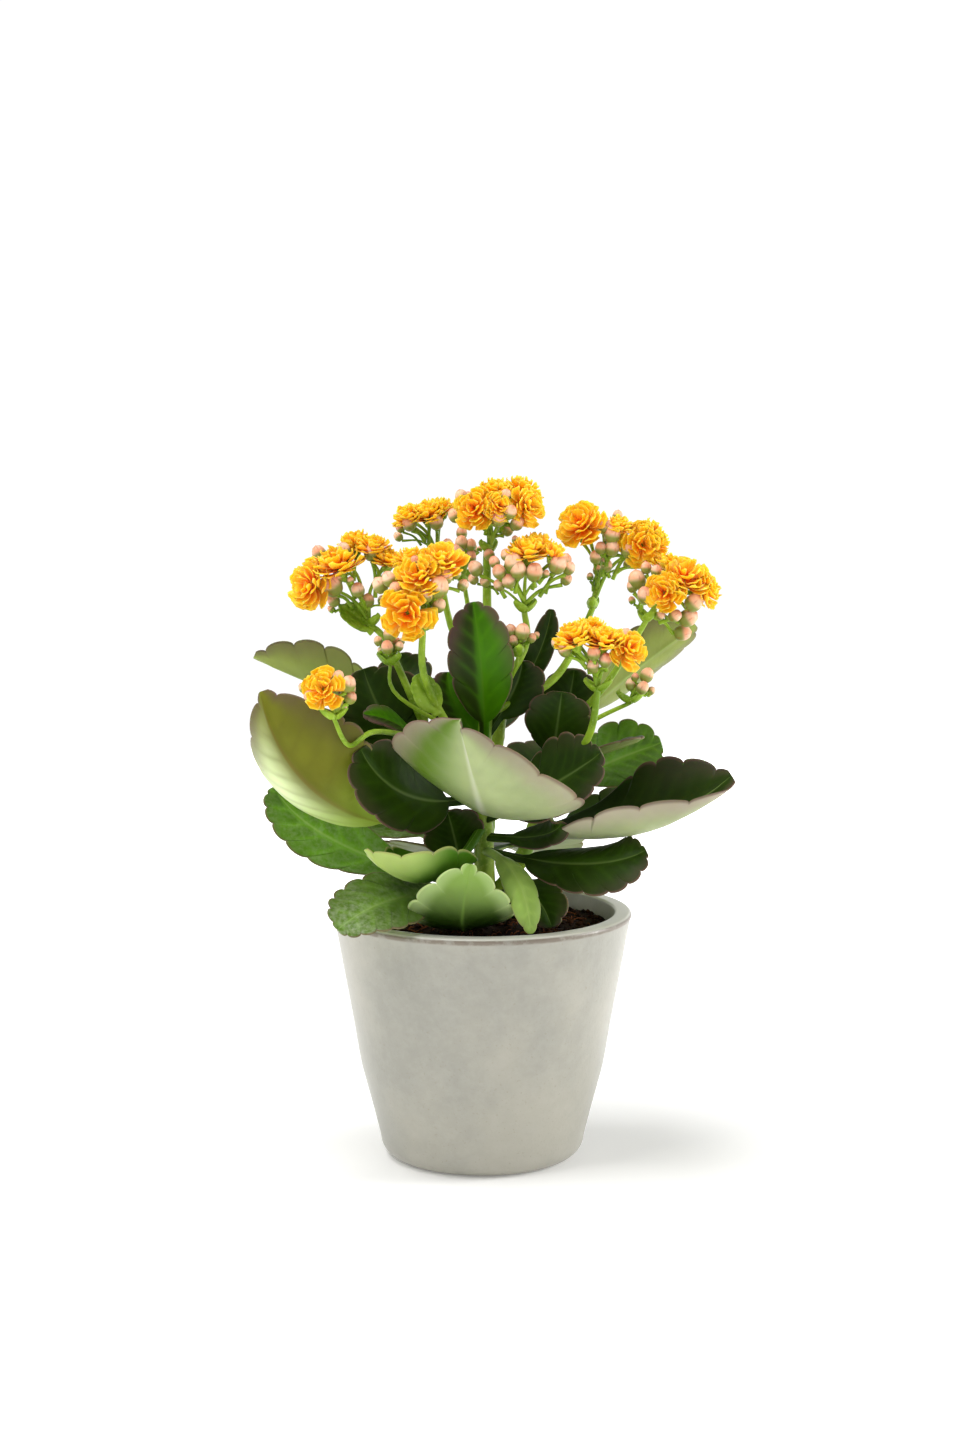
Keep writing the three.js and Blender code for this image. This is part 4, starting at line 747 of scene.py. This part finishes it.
def stalks_of(items, hub, centre):
    """Where the stalk of each item starts and ends. Branches leave the head's axis one after another, each
    to the item that it was raised for, and the items near that one fork off the branch."""
    leaders = [0]
    places = np.array([item[1] for item in items])
    while len(leaders) < math.ceil(len(items) / 3):
        room = np.min([np.linalg.norm(places - places[k], axis=1) for k in leaders], axis=0)
        leaders.append(int(np.argmax(room)))
    taken = [0] * len(leaders)
    stalks = []
    for i, item in enumerate(items):
        reach = [np.linalg.norm(places[k] - places[i]) for k in leaders]
        branch = int(np.argmin(reach))
        start = hub + (centre - hub) * CROWN * branch / len(leaders)
        if i == leaders[branch]:
            stalks.append((start, foot_of(item)))
            continue
        taken[branch] += 1
        lead = foot_of(items[leaders[branch]])
        stalks.append((start + (lead - start) * (0.25 + 0.15 * taken[branch]), foot_of(item)))
    return stalks


def add_head(
    name, seed, centre, reach, hub, stalk, shoot, height, thick, far,
    flowers=(), buds=(), tiny=(), bract=(),
):
    """A head of flowers as three pieces: green stalks and cups, petals and buds."""
    green, petals, closed = Shape(), Shape(), Shape()
    hub, centre = np.array(hub, float), np.array(centre, float)
    items = items_of(centre, reach, hub, far, flowers, buds, tiny, make_draw(seed))
    draw = make_draw(seed + 1)
    path = smooth_path([hub + (centre - hub) * CROWN, hub, *stalk, shoot_point(shoot, height)], 6)
    radii = thick * np.interp(np.linspace(0, 1, len(path)), [0, 1], [0.5, 1.1])
    add_tube(green, path, radii, 12)
    for (start, end), (kind, at, out, across) in zip(stalks_of(items, hub, centre), items):
        way = end - start
        upward = unit(np.cross(way, np.cross(UP, way)) + 1e-6)
        line = smooth_path([start, (start + end) / 2 + 0.12 * np.linalg.norm(way) * upward, end], 5)
        wide = np.interp(np.linspace(0, 1, len(line)), [0, 0.7, 1], [0.95, 0.7, 0.95])
        if across < THIN_STALK_BUD and kind == "bud":
            wide = wide * 0.65
        add_tube(green, line, wide, 8, 0.15)
        if kind == "flower":
            add_flower(petals, green, at, out, across, draw)
        else:
            add_bud(closed, green, at, out, across, draw)
    if bract:
        add_leaf(green, seed, *bract, cup=0.4, bare=0.12, teeth=3)
    # Two small bracts stand where the branches start.
    for turn in (0.6, 3.5):
        away = np.array([math.cos(turn + seed), math.sin(turn + seed), 0])
        middle, tip = hub + 3 * away + 1.5 * UP, hub + 5.5 * away + 4.5 * UP
        add_leaf(green, seed, hub, middle, tip, -away + 1.2 * UP, 1.3, cup=0.5, bare=0.05, teeth=3)
    stalks, bloom = "stalks_" + name, "bloom_" + name
    nodes = [stalks, bloom] if flowers else [stalks]
    green.piece(stalks + "_fine", stalk_look, "stalk", stalks)
    closed.piece("buds_" + name, bud_look, "bud", *nodes)
    if flowers:
        petals.piece(bloom + "_fine", petal_look, "petal", bloom)


# Stem, pot and soil


KNOT_SPACING = 13


def add_stem():
    """The shoots, a little thicker at knots where leaves grew."""
    stem = Shape()
    for name, shoot in SHOOTS.items():
        path = smooth_path(shoot["path"], 14)
        steps = np.linspace(0, 1, len(path))
        radii = np.interp(steps, np.linspace(0, 1, len(shoot["radii"])), shoot["radii"])
        knots = 1 + 0.09 * np.maximum(0, np.cos(path[:, 2] * 2 * math.pi / KNOT_SPACING)) ** 6
        add_tube(stem, path, radii * knots, 14)
    stem.piece("stem_fine", stem_look, "stem", "stem")


def lathe(shape, profile, sides):
    """A round solid from its profile. At each point the place is its distance from the axis, its height and
    its angle round the axis."""
    angles = 2 * math.pi * np.arange(sides) / sides
    r, z = [np.repeat(np.array(v)[:, None], sides, axis=1) for v in zip(*profile)]
    points = np.stack([r * np.cos(angles), r * np.sin(angles), z], -1)
    shape.add(points, tube_faces(len(profile), sides), places_of(points, r, z, angles))


def arc(centre, radius, start, end, steps):
    """Points of an arc from a start to an end angle, in degrees."""
    angles = np.radians(np.linspace(start, end, steps))
    return [(centre[0] + radius * math.cos(a), centre[1] + radius * math.sin(a)) for a in angles]


def pot_side(z):
    """The radius of the pot's outer wall at a height, on a curve through foot, belly and rim."""
    low = np.interp(z, [FOOT_ROUND, BELLY_HEIGHT], [FOOT_RADIUS, BELLY_RADIUS])
    high = np.interp(z, [BELLY_HEIGHT, POT_HEIGHT - 3], [BELLY_RADIUS, RIM_RADIUS - 0.6])
    soft = 0.35 * math.exp(-(((z - BELLY_HEIGHT) / 14) ** 2))
    return (low if z < BELLY_HEIGHT else high) + soft


POT_SIDES = 144
LIP_ROUND = 1.9  # how round the lip's outer edge is, and its inner one
LIP_INSIDE = 1.2


def add_pot():
    """The pot, turned from one profile: from the middle of its base round the wall to the middle of its
    floor."""
    pot = Shape()
    foot = FOOT_RADIUS - FOOT_ROUND
    inner_rim, inner_foot = RIM_RADIUS - WALL, FOOT_RADIUS - WALL
    profile = [(0.5, 0), (foot * 0.5, 0), (foot, 0)]
    profile += arc((foot, FOOT_ROUND), FOOT_ROUND, -84, -6, 9)
    heights = np.linspace(FOOT_ROUND + 2, POT_HEIGHT - 3.5, 26)
    profile += [(pot_side(z), z) for z in heights]
    profile += arc((RIM_RADIUS - LIP_ROUND, POT_HEIGHT - LIP_ROUND), LIP_ROUND, 0, 84, 7)
    profile += [(inner_rim + 2 * LIP_INSIDE, POT_HEIGHT)]
    profile += arc((inner_rim + LIP_INSIDE, POT_HEIGHT - LIP_INSIDE), LIP_INSIDE, 84, 180, 6)
    for z in np.linspace(POT_HEIGHT - 4, BELLY_HEIGHT, 8):
        profile += [(np.interp(z, [BELLY_HEIGHT, POT_HEIGHT - 1], [BELLY_RADIUS - WALL, inner_rim]), z)]
    profile += [(inner_foot - 1, FLOOR_THICKNESS + 3), (inner_foot - 5, FLOOR_THICKNESS)]
    profile += [(0.5, FLOOR_THICKNESS)]
    lathe(pot, profile, POT_SIDES)
    pot.piece("pot_fine", glaze_look, "glaze", "pot")


SOIL_EDGE = RIM_RADIUS - WALL - 1.9
SOIL_CRUMBS = 1500
SOIL_FIBRES = 240
SOIL_SEED = 77


def soil_height(x, y):
    """The height of the soil's uneven surface, which is a low mound."""
    r = np.hypot(x, y)
    mound = np.interp(r, [0, 18, 31, 44, 57], [2.5, 2.2, 1.5, 0, -1.6])
    return SOIL_TOP + mound + 0.9 * ripple(x / 6, y / 6, 5) + 0.6 * ripple(x / 2.2, y / 2.2, 9)


def add_soil():
    """The soil, with crumbs and thin fibres on its surface."""
    soil = Shape()
    rows, sides = 40, 120
    angles = 2 * math.pi * np.arange(sides) / sides
    radii = SOIL_EDGE * np.linspace(1, 0.02, rows)
    x, y = radii[:, None] * np.cos(angles), radii[:, None] * np.sin(angles)
    top = np.stack([x, y, soil_height(x, y)], -1)
    under = [(BELLY_RADIUS - WALL - 1, BELLY_HEIGHT), (FOOT_RADIUS - WALL - 2, FLOOR_THICKNESS + 4)]
    wall = np.array([[(r * math.cos(a), r * math.sin(a), z) for a in angles] for r, z in under[::-1]])
    grid = np.concatenate([wall, top])
    soil.add(grid, tube_faces(len(grid), sides), (0, 0, 0))
    draw = make_draw(SOIL_SEED)

    def spot(reach):
        r, a = reach * math.sqrt(draw()), 2 * math.pi * draw()
        return r * math.cos(a), r * math.sin(a)

    for _ in range(SOIL_CRUMBS):
        x, y = spot(SOIL_EDGE - 1.5)
        size = 0.5 + 1.5 * draw() ** 3
        add_crumb(soil, (x, y, soil_height(x, y) + 0.25 * size), size, draw)
    for _ in range(SOIL_FIBRES):
        x, y = spot(SOIL_EDGE - 5)
        turn = 2 * math.pi * draw()
        reach = 2 + 6 * draw()
        x1, y1 = x + reach * math.cos(turn), y + reach * math.sin(turn)
        if math.hypot(x1, y1) > SOIL_EDGE - 1:
            continue
        lift = 0.5 + 0.9 * draw()
        spots = ((x, y, 0), ((x + x1) / 2, (y + y1) / 2, lift), (x1, y1, 0.3))
        path = smooth_path([(a, b, soil_height(a, b) + up) for a, b, up in spots], 3)
        add_tube(soil, path, np.full(7, 0.16 + 0.2 * draw()), 5, 0.6 + 0.4 * draw())
    soil.piece("soil_fine", soil_look, "soil", "soil")


def add_crumb(shape, at, size, draw):
    """A rough lump of eight uneven sides."""
    corners = [(1, 0, 0), (-1, 0, 0), (0, 1, 0), (0, -1, 0), (0, 0, 1), (0, 0, -1)]
    points = [np.array(at) + np.array(c) * size * (0.6 + 0.6 * draw()) * (1, 1, 0.7) for c in corners]
    faces = [(0, 2, 4), (2, 1, 4), (1, 3, 4), (3, 0, 4), (2, 0, 5), (1, 2, 5), (3, 1, 5), (0, 3, 5)]
    shape.add(points, faces, (0, 0, 0.5 * draw()))


# Looks


def rgb(code):
    """A colour in linear light from its six-digit code."""
    parts = [int(code[i : i + 2], 16) / 255 for i in (0, 2, 4)]
    return [p / 12.92 if p <= 0.04045 else ((p + 0.055) / 1.055) ** 2.4 for p in parts] + [1]


def shade(code, factor):
    """The colour of a code, lighter or darker."""
    return [min(1, factor * c) for c in rgb(code)[:3]] + [1]


class Look:
    """A material under construction: short calls add the nodes and join them."""

    def __init__(self, name):
        self.material = bpy.data.materials.new(name)
        self.material.use_nodes = True
        self.tree = self.material.node_tree
        self.shader = self.tree.nodes["Principled BSDF"]
        place = self.node("ShaderNodeAttribute", attribute_name="place")
        split = self.node("ShaderNodeSeparateXYZ")
        self.join(place.outputs["Vector"], split.inputs[0])
        self.along, self.across, self.kind = split.outputs
        self.position = self.node("ShaderNodeNewGeometry").outputs["Position"]

    def node(self, kind, inputs=None, **settings):
        """A node with its settings and with the values or the joined outputs of its inputs."""
        node = self.tree.nodes.new(kind)
        for key, value in settings.items():
            setattr(node, key, value)
        for key, value in (inputs or {}).items():
            self.put(node.inputs[key], value)
        return node

    def join(self, output, target):
        self.tree.links.new(output, target)

    def put(self, target, value):
        if hasattr(value, "links"):
            self.join(value, target)
        else:
            target.default_value = value

    def noise(self, scale, detail=3.0, roughness=0.55):
        inputs = {"Vector": self.position, "Scale": scale, "Detail": detail, "Roughness": roughness}
        return self.node("ShaderNodeTexNoise", inputs).outputs["Fac"]

    def math(self, operation, a, b=0.0):
        return self.node("ShaderNodeMath", {0: a, 1: b}, operation=operation).outputs[0]

    def ramp(self, value, low, high):
        inputs = {"Value": value, "From Min": low, "From Max": high}
        return self.node("ShaderNodeMapRange", inputs, interpolation_type="SMOOTHSTEP").outputs["Result"]

    def times(self, a, b):
        return self.math("MULTIPLY", a, b)

    def mix(self, share, a, b):
        return self.node("ShaderNodeMix", {0: share, 6: a, 7: b}, data_type="RGBA").outputs[2]

    def tint(self, colour, code, most, value, low, high):
        """The colour with more and more of another as a value goes from low to high, up to most of it."""
        share = self.ramp(value, low, high)
        return self.mix(share if most == 1 else self.times(share, most), colour, rgb(code))

    def bump(self, height, distance, strength):
        inputs = {"Strength": strength, "Distance": distance, "Height": height}
        self.join(self.node("ShaderNodeBump", inputs).outputs[0], self.shader.inputs["Normal"])

    def finish(self, colour, roughness, gloss, through=0, spread=None, depth=None, coat=0):
        """Sets the shader. through, spread and depth are for light that goes under the surface: how much of
        it, how far it spreads in red, green and blue, and the scale of that. coat is how much clear coat
        there is."""
        values = {"Base Color": colour, "Roughness": roughness, "Specular IOR Level": gloss}
        if through:
            values |= {"Subsurface Weight": through, "Subsurface Radius": spread, "Subsurface Scale": depth}
        if coat:
            values |= {"Coat Weight": coat, "Coat Roughness": 0.18}
        for key, value in values.items():
            self.put(self.shader.inputs[key], value)
        return self.material


def make_leaf_look(
    name, upper, lower, painted_light_half=None, painted_light_reach=2.0, shaded_half=None, foot=None, foot_reach=0.8, fringe=None,
    rib="9fb868", edge="6d4f48", blush=0.3, sheen=0.42, veins=0.3, painted_sheen=0.0,
):
    """A waxy leaf: its two sides, veins, a purple-brown blush near the tip and the margin, and a thin line
    round it. painted_light_half is the colour that the lower side takes on one half of the blade, up to
    painted_light_reach of the way to the tip, painted for how the light falls on that half: a pale band of
    painted light on the olive look and a greener half of painted shade on the grey one. shaded_half is the
    painted shade that the upper side takes on the other half, foot the colour of the lower side near the
    petiole, fringe the one of its margin and rib the one of the midrib. painted_sheen is how much of the
    blade is painted whitish in patches, a painted sheen where its ridges would catch the light."""
    look = Look(name)
    broad = look.ramp(look.noise(38), 0.3, 0.7)
    fine = look.noise(500, 4, 0.6)
    share = look.math("ABSOLUTE", look.across)
    tone = look.mix(broad, rgb(upper), shade(upper, 0.6))
    # Painted shade: the upper side is darker over one half of the blade.
    if shaded_half:
        tone = look.tint(tone, shaded_half, 1, look.across, 0.1, -0.35)
    vein = look.times(look.ramp(look.kind, 0.97, 1 - VEIN_MARK), veins)
    tone = look.mix(vein, tone, shade(upper, 2.4))
    under = look.mix(broad, rgb(lower), shade(lower, 0.78))
    # Painted light on one half of the lower side, lighter or darker as the look gives it, for how light
    # falls there.
    if painted_light_half:
        reach = look.ramp(look.along, painted_light_reach, painted_light_reach - 0.4)
        under = look.mix(look.times(reach, look.ramp(look.across, -0.1, 0.6)), under, rgb(painted_light_half))
    if foot:
        under = look.tint(under, foot, 1, look.along, foot_reach, foot_reach - 0.4)
    vein = look.times(look.ramp(look.kind, 0.03, VEIN_MARK), veins)
    under = look.mix(vein, under, shade(lower, 0.6))
    if fringe:
        under = look.tint(under, fringe, 0.7, share, 0.6, 1.0)
    colour = look.mix(look.ramp(look.kind, 0.4, 0.6), under, tone)
    # Painted sheen: whitish patches where fine ridges would catch the light.
    if painted_sheen:
        rough = look.times(look.ramp(fine, 0.3, 0.75), look.ramp(look.noise(25), 0.25, 0.75))
        colour = look.mix(look.times(rough, painted_sheen), colour, rgb("c6ccb0"))
    near_tip = look.times(look.ramp(share, 0.45, 1.0), look.ramp(look.along, 0.35, 0.95))
    near_tip = look.times(near_tip, look.math("ADD", 0.4, look.noise(60)))
    colour = look.mix(look.times(near_tip, blush), colour, rgb("5d4442"))
    midrib = look.math("SUBTRACT", 1.0, look.ramp(share, 0.0, 0.07))
    colour = look.mix(look.times(midrib, 0.35), colour, rgb(rib))
    margin = look.times(look.ramp(share, 0.95, 1.0), look.ramp(look.along, 0.2, 0.3))
    colour = look.mix(look.times(margin, 0.7), colour, rgb(edge))
    look.bump(look.math("ADD", look.times(fine, 0.3), look.noise(110, 3, 0.6)), 0.0006, 0.45)
    roughness = look.math("ADD", sheen - 0.08, look.times(fine, 0.2))
    return look.finish(colour, roughness, 0.12, 0.2, (0.5, 1.0, 0.1), 0.003)


def make_petal_look():
    """Golden orange, deeper towards the heart, partly as its own colour and partly as painted shade in the
    depth of the flower, with lighter golden patches of painted highlight, lighter edges and fine streaks.
    """
    look = Look("petal")
    broad = look.noise(120)
    streaks = look.noise(900, 3, 0.6)
    # Deeper orange at the heart: partly the flower's own colour, partly painted shade in its depth.
    colour = look.tint(rgb("ff6a0c"), "ffc020", 1, look.along, 0.1, 0.85)
    # Painted highlight: lighter golden patches at random.
    colour = look.tint(colour, "ffd236", 0.6, broad, 0.4, 0.65)
    colour = look.tint(colour, "ffdc80", 0.3, look.across, 0.7, 1.0)
    colour = look.tint(colour, "ff8414", 0.15, streaks, 0.5, 0.7)
    look.bump(streaks, 0.0002, 0.4)
    return look.finish(colour, 0.5, 0.2, 0.5, (1.0, 0.45, 0.08), 0.003)


def make_bud_look():
    """Peach and salmon, greener at the foot, with darker seams between the wrapped petals."""
    look = Look("bud")
    broad = look.noise(160)
    fine = look.noise(1300, 3, 0.6)
    colour = look.tint(rgb("f2c096"), "e6a07a", 1, look.kind, 0.0, 1.0)
    colour = look.tint(colour, "f8dcc0", 0.6, broad, 0.4, 0.65)
    colour = look.tint(colour, "86903c", 1, look.along, 0.62, 0.35)
    colour = look.tint(colour, "d9744f", 0.6, look.along, 0.8, 1.0)
    colour = look.tint(colour, "a84a34", 0.5, look.across, 0.6, 1.0)
    look.bump(fine, 0.0002, 0.5)
    return look.finish(colour, 0.48, 0.4, 0.25, (1.0, 0.5, 0.3), 0.002)


def make_stalk_look(name, dark, light):
    """Smooth green, lighter in spots."""
    look = Look(name)
    broad = look.noise(70)
    fine = look.noise(700, 3, 0.6)
    colour = look.tint(rgb(dark), light, 1, broad, 0.35, 0.65)
    colour = look.tint(colour, "c8d67c", 0.3, fine, 0.5, 0.75)
    look.bump(fine, 0.0002, 0.5)
    return look.finish(colour, 0.42, 0.25, 0.15, (0.5, 0.8, 0.2), 0.002)


def make_glaze_look():
    """Pale stoneware glaze: broad clouds, fine freckles, a worn brown line on the outer edge of the lip and
    a lighter top to it."""
    look = Look("glaze")
    clouds = look.noise(14, 5, 0.6)
    mottle = look.noise(160, 4, 0.7)
    freckles = look.noise(900, 2, 0.6)
    colour = look.tint(rgb("96958b"), "a8a598", 1, clouds, 0.35, 0.65)
    colour = look.tint(colour, "b8b6ac", 0.2, mottle, 0.35, 0.7)
    colour = look.tint(colour, "8a8472", 0.4, freckles, 0.6, 0.76)
    # The worn line lies where the wall turns into the lip, and fades in and out round the pot.
    height = look.across
    below = look.ramp(height, POT_HEIGHT - 3.2, POT_HEIGHT - 1.9)
    above = look.ramp(height, POT_HEIGHT - 0.4, POT_HEIGHT - 1.3)
    outside = look.ramp(look.along, RIM_RADIUS - 1.6, RIM_RADIUS - 0.8)
    worn = look.times(look.times(below, above), outside)
    worn = look.times(worn, look.math("ADD", 0.35, look.ramp(mottle, 0.35, 0.65)))
    colour = look.mix(look.math("MINIMUM", worn, 0.85), colour, rgb("6f6253"))
    colour = look.tint(colour, "e2e0d6", 0.6, height, POT_HEIGHT - 0.9, POT_HEIGHT - 0.3)
    look.bump(look.math("ADD", mottle, look.times(freckles, 0.4)), 0.0004, 0.35)
    return look.finish(colour, look.math("ADD", 0.26, look.times(mottle, 0.22)), 0.5, coat=0.25)


def make_soil_look():
    """Dark and rough, with browner crumbs and fibres."""
    look = Look("soil")
    broad = look.noise(220, 4, 0.7)
    colour = look.tint(rgb("120a06"), "2c1a10", 1, broad, 0.35, 0.7)
    colour = look.tint(colour, "63381d", 1, look.kind, 0.25, 0.95)
    look.bump(broad, 0.0008, 0.8)
    return look.finish(colour, 0.9, 0.1)


petal_look = make_petal_look()
bud_look = make_bud_look()
stalk_look = make_stalk_look("stalk", "6c8e14", "98ba32")
stem_look = make_stalk_look("stem", "5f8018", "8aa42e")
glaze_look = make_glaze_look()
soil_look = make_soil_look()

# The looks of the leaves: upper side, underside and what else make_leaf_look takes.
LEAF_LOOKS = {
    "dark": dict(upper="263e04", lower="8a9c50", rib="7c9450", veins=0.2),
    # The fresh look paints shade over one half of the upper side.
    "fresh": dict(upper="437a00", lower="86a236", shaded_half="283a08", rib="5a8420", blush=0.9, veins=0.15),
    # The veined and rough looks paint whitish patches of sheen.
    "veined": dict(upper="54801a", lower="93ac44", sheen=0.36, blush=0.1, painted_sheen=0.2),
    "rough": dict(upper="547422", lower="93ac44", sheen=0.34, blush=0.1, painted_sheen=0.4),
    # The olive look paints a pale band of light along one half of its lower side.
    "olive": dict(
        upper="45600a", lower="6e7018", painted_light_half="dcebb0", painted_light_reach=1.0, foot="94b040", foot_reach=0.6,
        rib="6a4a1c", blush=0.6,
    ),
    # The grey look paints a greener half of shade on its lower side.
    "grey": dict(
        upper="2f4c0c", lower="aebb86", painted_light_half="58761f", fringe="b4aa94", rib="dcdccc", edge="6d4a44",
        blush=0.5, veins=0.15,
    ),
    "wall": dict(upper="203404", lower="a4ae80", fringe="b5a698", edge="5a3c38", veins=0.15),
    "far": dict(upper="2f4c0c", lower="8d9a48", edge="4d3834", blush=0.7, veins=0.15),
    "light": dict(
        upper="416c0a", lower="bed478", foot="42700e", foot_reach=0.95, edge="9c9a60", blush=0.1, veins=0.1,
    ),
    # The hood look paints shade dark near the petiole in the hollow of the arch, and a pale highlight along
    # its fringe and edge on the lit rim.
    "hood": dict(
        upper="416c0a", lower="86a64e", foot="1e3408", foot_reach=1.0, fringe="a6bc7c", edge="c0d090",
        rib="6c8c3c", blush=0.0, veins=0.05,
    ),
    "pale": dict(upper="98b858", lower="98b858", edge="9c9a60", blush=0.1, veins=0.08),
}
LOOK_OF = {
    "front_broad": "grey", "left_big": "olive", "left_low": "veined", "rim_left": "rough",
    "left_far": "far", "right_far": "far", "right_big": "wall", "low_pale": "light", "low_arched": "hood",
    "low_folded": "pale", "centre_upright": "fresh", "left_small": "fresh", "right_mid": "veined",
    "left_wrinkled": "rough", "centre_left": "fresh",
}
VEINS = {"left_low": 0.3, "rim_left": 0.3, "left_wrinkled": 0.9, "right_low": 0.2, "right_mid": 0.3}

leaf_looks = {name: make_leaf_look("leaf_" + name, **look) for name, look in LEAF_LOOKS.items()}

FIRST_LEAF_SEED = 31
FIRST_HEAD_SEED = 101

add_pot()
add_soil()
add_stem()
for number, (name, ((on, height, *form), more)) in enumerate(LEAVES.items()):
    shape = Shape()
    veins = VEINS.get(name, 0.12)
    add_leaf(shape, FIRST_LEAF_SEED + number, shoot_point(on, height), *form, veins=veins, **more)
    shape.piece("leaf_" + name + "_fine", leaf_looks[LOOK_OF.get(name, "dark")], "leaf", "leaf_" + name)
for number, (name, (form, more)) in enumerate(HEADS.items()):
    add_head(name, FIRST_HEAD_SEED + 7 * number, *form, **more)

# Stage, light and camera

FLOOR_REACH = 1.4
GLOW = 0.12
TARGET = (0, 0, 0.15)  # where the lights look
BAND_TOP = 0.25  # sine of the height to which the surroundings are white, and from where they are dim
DIM_FROM = 0.5
BAND_GLOW = 1.05
DIM_GLOW = 0.15


def add_floor():
    """A white table top that glows towards its edge, so that it runs into the white round it."""
    look = Look("floor")
    reach = look.node("ShaderNodeVectorMath", operation="LENGTH")
    look.join(look.position, reach.inputs[0])
    glow = look.math("ADD", GLOW, look.ramp(reach.outputs["Value"], 0.3, 0.8))
    look.join(glow, look.shader.inputs["Emission Strength"])
    look.shader.inputs["Emission Color"].default_value = (1, 1, 1, 1)
    floor_look = look.finish(look.mix(look.noise(4), rgb("f9f9f8"), rgb("fcfcfb")), 0.9, 0.1)
    mesh = bpy.data.meshes.new("floor")
    angles = np.radians(np.arange(0, 360, 5))
    corners = [(FLOOR_REACH * math.cos(a), FLOOR_REACH * math.sin(a), 0) for a in angles]
    mesh.from_pydata(corners, [], [tuple(range(len(corners)))])
    mesh.materials.append(floor_look)
    place_in_scene("floor", mesh)


def add_light(name, place, size, power, colour=(1, 1, 1)):
    """A square light that looks at the plant."""
    light = bpy.data.lights.new(name, "AREA")
    light.size = size
    light.energy = power
    light.color = colour
    lamp = place_in_scene(name, light)
    lamp.location = place
    direction = Vector(TARGET) - Vector(place)
    lamp.rotation_euler = direction.to_track_quat("-Z", "Y").to_euler()


def add_camera():
    camera = bpy.data.cameras.new("camera")
    camera.lens = CAMERA_LENS
    camera.sensor_width = 36
    holder = place_in_scene("camera", camera)
    holder.location = CAMERA_PLACE
    holder.rotation_euler = (math.radians(90 - CAMERA_DIP), 0, 0)
    bpy.context.scene.camera = holder


add_floor()
add_light("top", (-0.5, 0.0, 2.2), 1.4, 44)
add_light("key", (-1.0, -0.9, 1.4), 0.5, 7, (1, 0.98, 0.94))
add_light("rim", (1.3, 0.1, 0.6), 0.6, 12)
add_camera()


def make_world():
    """White round the table up to a little above the horizon, and dim overhead."""
    world = bpy.data.worlds.new("studio")
    bpy.context.scene.world = world
    world.use_nodes = True
    tree = world.node_tree
    coordinates = tree.nodes.new("ShaderNodeTexCoord")
    split = tree.nodes.new("ShaderNodeSeparateXYZ")
    fade = tree.nodes.new("ShaderNodeMapRange")
    fade.inputs["From Min"].default_value = BAND_TOP
    fade.inputs["From Max"].default_value = DIM_FROM
    fade.inputs["To Min"].default_value = BAND_GLOW
    fade.inputs["To Max"].default_value = DIM_GLOW
    tree.links.new(coordinates.outputs["Generated"], split.inputs[0])
    tree.links.new(split.outputs["Z"], fade.inputs["Value"])
    tree.links.new(fade.outputs["Result"], tree.nodes["Background"].inputs["Strength"])
    tree.nodes["Background"].inputs["Color"].default_value = (1, 1, 1, 1)


make_world()
bpy.context.scene.view_settings.view_transform = "Standard"
